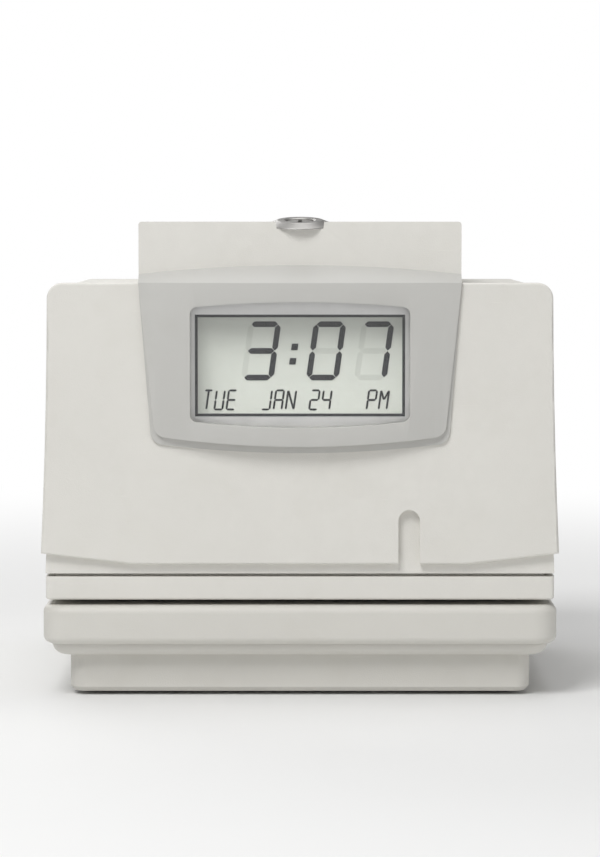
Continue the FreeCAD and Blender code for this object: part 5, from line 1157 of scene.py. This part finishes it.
def cans():
    """Capacitors with a crimped neck and a bare scored top, and a sounder with a hole."""
    sleeves, tops = [], []
    for across, up, r, tall in CAPACITORS:
        profile = [(0.9 * r, 0.0), (r, 0.4), (r, 1.2), (0.93 * r, 1.6), (r, 2.0), (r, tall - 0.5),
                   (0.93 * r, tall - 0.1), (0.80 * r, tall - 0.1)]
        sleeve = turned(rounded_profile(profile, CAP_ROUND, 3) * MM, CAP_COUNT)
        sleeves.append(on_board(sleeve, across, up))
        profile = [(0.80 * r, tall - 0.4), (0.80 * r, tall), (1.0, tall), (1.0, tall - 0.3)]
        score = recess_shape(len(profile), cross_outline(CAP_COUNT, SCORE_REACH * r, SCORE_HALF))
        tops.append(on_board(turned(np.array(profile) * MM, CAP_COUNT, score), across, up))
    solids("capacitor_sleeves", sleeves, "shrink_black", "base")
    solids("capacitor_tops", tops, "motor_metal", "base")
    across, up, r, tall = SOUNDER
    profile = [(r, 0.0), (r, tall), (1.2, tall), (1.2, tall - 1.5)]
    sounder = turned(rounded_profile(profile, SOUNDER_ROUND) * MM, SOUNDER_COUNT)
    solids("sounder", [on_board(sounder, across, up)], "dark_plastic", "base")


class STAMP_OT_electrics(bpy.types.Operator):
    """Circuit boards, their parts, the battery and the setting buttons"""
    bl_idname = "stamp.electrics"
    bl_label = "Electrics"

    def execute(self, context):
        dress("main_board", "battery_pack", "display_board", "button_switches",
              "set_button", "change_button", "enter_button")
        chips()
        headers()
        cans()
        return {"FINISHED"}


# ---------------- studio

FLOOR_HALF = 6.0
FLOOR_POINTS = 13
FLOOR_MELTS = (0.16, 0.75)       # distances at which the floor starts and ends to turn white
AMBIENT = 0.25                   # the surroundings' light on the machine
LAMPS = (                        # name, place, side and power
    ("key lamp", (-0.45, -0.90, 1.20), 0.6, 13.0),
    ("fill lamp", (1.05, -0.95, 0.45), 0.8, 1.7),
    ("top lamp", (0.10, 0.10, 1.25), 0.8, 4.0),
    ("rear lamp", (-0.55, 1.15, 0.75), 0.9, 5.0),
)
LAMPS_AIM = (0.0, 0.0, 0.075)
VIEW_WIDTH = 0.190               # what the camera takes in at its distance from the fascia
VIEW_DISTANCE = 1.0
VIEW_HEIGHT = 0.0865
EYE_HEIGHT = 0.152
SENSOR = 36.0


def floor():
    """A level sheet that melts into the white surroundings with distance."""
    along = np.linspace(-FLOOR_HALF, FLOOR_HALF, FLOOR_POINTS)
    x, y = np.meshgrid(along, along, indexing="ij")
    points = np.stack([x, y, np.zeros_like(x)], -1).reshape(-1, 3)
    mesh = bpy.data.meshes.new("studio_floor")
    mesh.from_pydata(points.tolist(), [], grid_faces(FLOOR_POINTS, FLOOR_POINTS).tolist())
    nodes = blank_material("studio floor", 0.75, Specular_IOR_Level=0.15)
    grain = nodes.effect("grain", Cell=0.004)
    tone = colours().floor
    nodes.finish(nodes.blend(grain["Tone"], rgba(tone, 0.99), rgba(tone)))
    away = nodes.add("ShaderNodeVectorMath", {0: nodes.at["Object"]}, operation="LENGTH")
    far = nodes.ramp(away.outputs["Value"], *FLOOR_MELTS)
    path = nodes.add("ShaderNodeLightPath").outputs
    seen = nodes.maths("MAXIMUM", path["Is Glossy Ray"], path["Is Transmission Ray"])
    seen = nodes.maths("MAXIMUM", path["Is Camera Ray"], seen)
    glow = nodes.add("ShaderNodeEmission", {"Color": WHITE, "Strength": 1.0})
    nodes.mix_in(nodes.times(far, seen), glow)
    mesh.materials.append(nodes.material)
    sheet = bpy.data.objects.new("studio_floor", mesh)
    bpy.context.scene.collection.objects.link(sheet)


def lamp(name, spot, side, power):
    """A square soft lamp that faces the middle of the machine."""
    data = bpy.data.lights.new(name, "AREA")
    data.shape = "SQUARE"
    data.size = side
    data.energy = power
    source = bpy.data.objects.new(name, data)
    aim = Vector(LAMPS_AIM) - Vector(spot)
    source.rotation_euler = aim.to_track_quat("-Z", "Y").to_euler()
    source.location = spot
    bpy.context.scene.collection.objects.link(source)


def surroundings():
    """White to the eye and through clear parts, and a weaker even light on the machine and in its
    reflections.
    """
    world = bpy.data.worlds.new("surroundings")
    world.use_nodes = True
    nodes = Nodes(world.node_tree)
    nodes.tree.nodes.clear()
    path = nodes.add("ShaderNodeLightPath").outputs
    seen = nodes.maths("MAXIMUM", path["Is Camera Ray"], path["Is Transmission Ray"])
    strength = nodes.add("ShaderNodeMix", {0: seen, 2: AMBIENT, 3: 1.0}, data_type="FLOAT")
    light = nodes.add("ShaderNodeBackground", {"Color": WHITE, "Strength": strength.outputs[0]})
    nodes.add("ShaderNodeOutputWorld", {"Surface": light.outputs["Background"]})
    bpy.context.scene.world = world


def camera():
    """Looks at the fascia as in a front elevation, from the height of the hood's top edge."""
    data = bpy.data.cameras.new("camera")
    data.sensor_fit = "HORIZONTAL"
    data.sensor_width = SENSOR
    data.lens = SENSOR * VIEW_DISTANCE / VIEW_WIDTH
    data.clip_start = 0.05
    data.clip_end = 30.0
    eye = bpy.data.objects.new("camera", data)
    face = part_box("front_fascia")[0].y
    eye.location = (0.0, face - VIEW_DISTANCE, EYE_HEIGHT)
    fall = math.atan2(EYE_HEIGHT - VIEW_HEIGHT, VIEW_DISTANCE)
    eye.rotation_euler = (TURN / 4.0 - fall, 0.0, 0.0)
    bpy.context.scene.collection.objects.link(eye)
    bpy.context.scene.camera = eye


class STAMP_OT_studio(bpy.types.Operator):
    """Pale floor, soft lamps, plain surroundings and the camera"""
    bl_idname = "stamp.studio"
    bl_label = "Studio"

    def execute(self, context):
        floor()
        for settings in LAMPS:
            lamp(*settings)
        surroundings()
        camera()
        context.scene.view_settings.view_transform = "Standard"
        return {"FINISHED"}


# ---------------- add-on

STEPS = (STAMP_OT_studio, STAMP_OT_case, STAMP_OT_screws, STAMP_OT_window, STAMP_OT_read_out,
         STAMP_OT_lock, STAMP_OT_plates, STAMP_OT_feed, STAMP_OT_carriage, STAMP_OT_ribbon,
         STAMP_OT_throat, STAMP_OT_electrics)


class STAMP_PT_panel(bpy.types.Panel):
    """Sizes, colours and steps of the machine"""
    bl_idname = "STAMP_PT_panel"
    bl_label = "Stamp machine"
    bl_space_type = "VIEW_3D"
    bl_region_type = "UI"
    bl_category = "Stamp"

    def draw(self, context):
        for group in (context.scene.stamp_sizes, context.scene.stamp_colours):
            box = self.layout.box()
            for name in group.__annotations__:
                box.prop(group, name)
        for step in STEPS:
            self.layout.operator(step.bl_idname)


CLASSES = (StampColours, StampSizes) + STEPS + (STAMP_PT_panel,)


def register():
    for cls in CLASSES:
        bpy.utils.register_class(cls)
    bpy.types.Scene.stamp_colours = PointerProperty(type=StampColours)
    bpy.types.Scene.stamp_sizes = PointerProperty(type=StampSizes)


def unregister():
    del bpy.types.Scene.stamp_sizes
    del bpy.types.Scene.stamp_colours
    for cls in reversed(CLASSES):
        bpy.utils.unregister_class(cls)


def main():
    register()
    make_effects()
    make_materials()
    for step in STEPS:
        group, action = step.bl_idname.split(".")
        getattr(getattr(bpy.ops, group), action)()


if __name__ == "__main__":
    main()
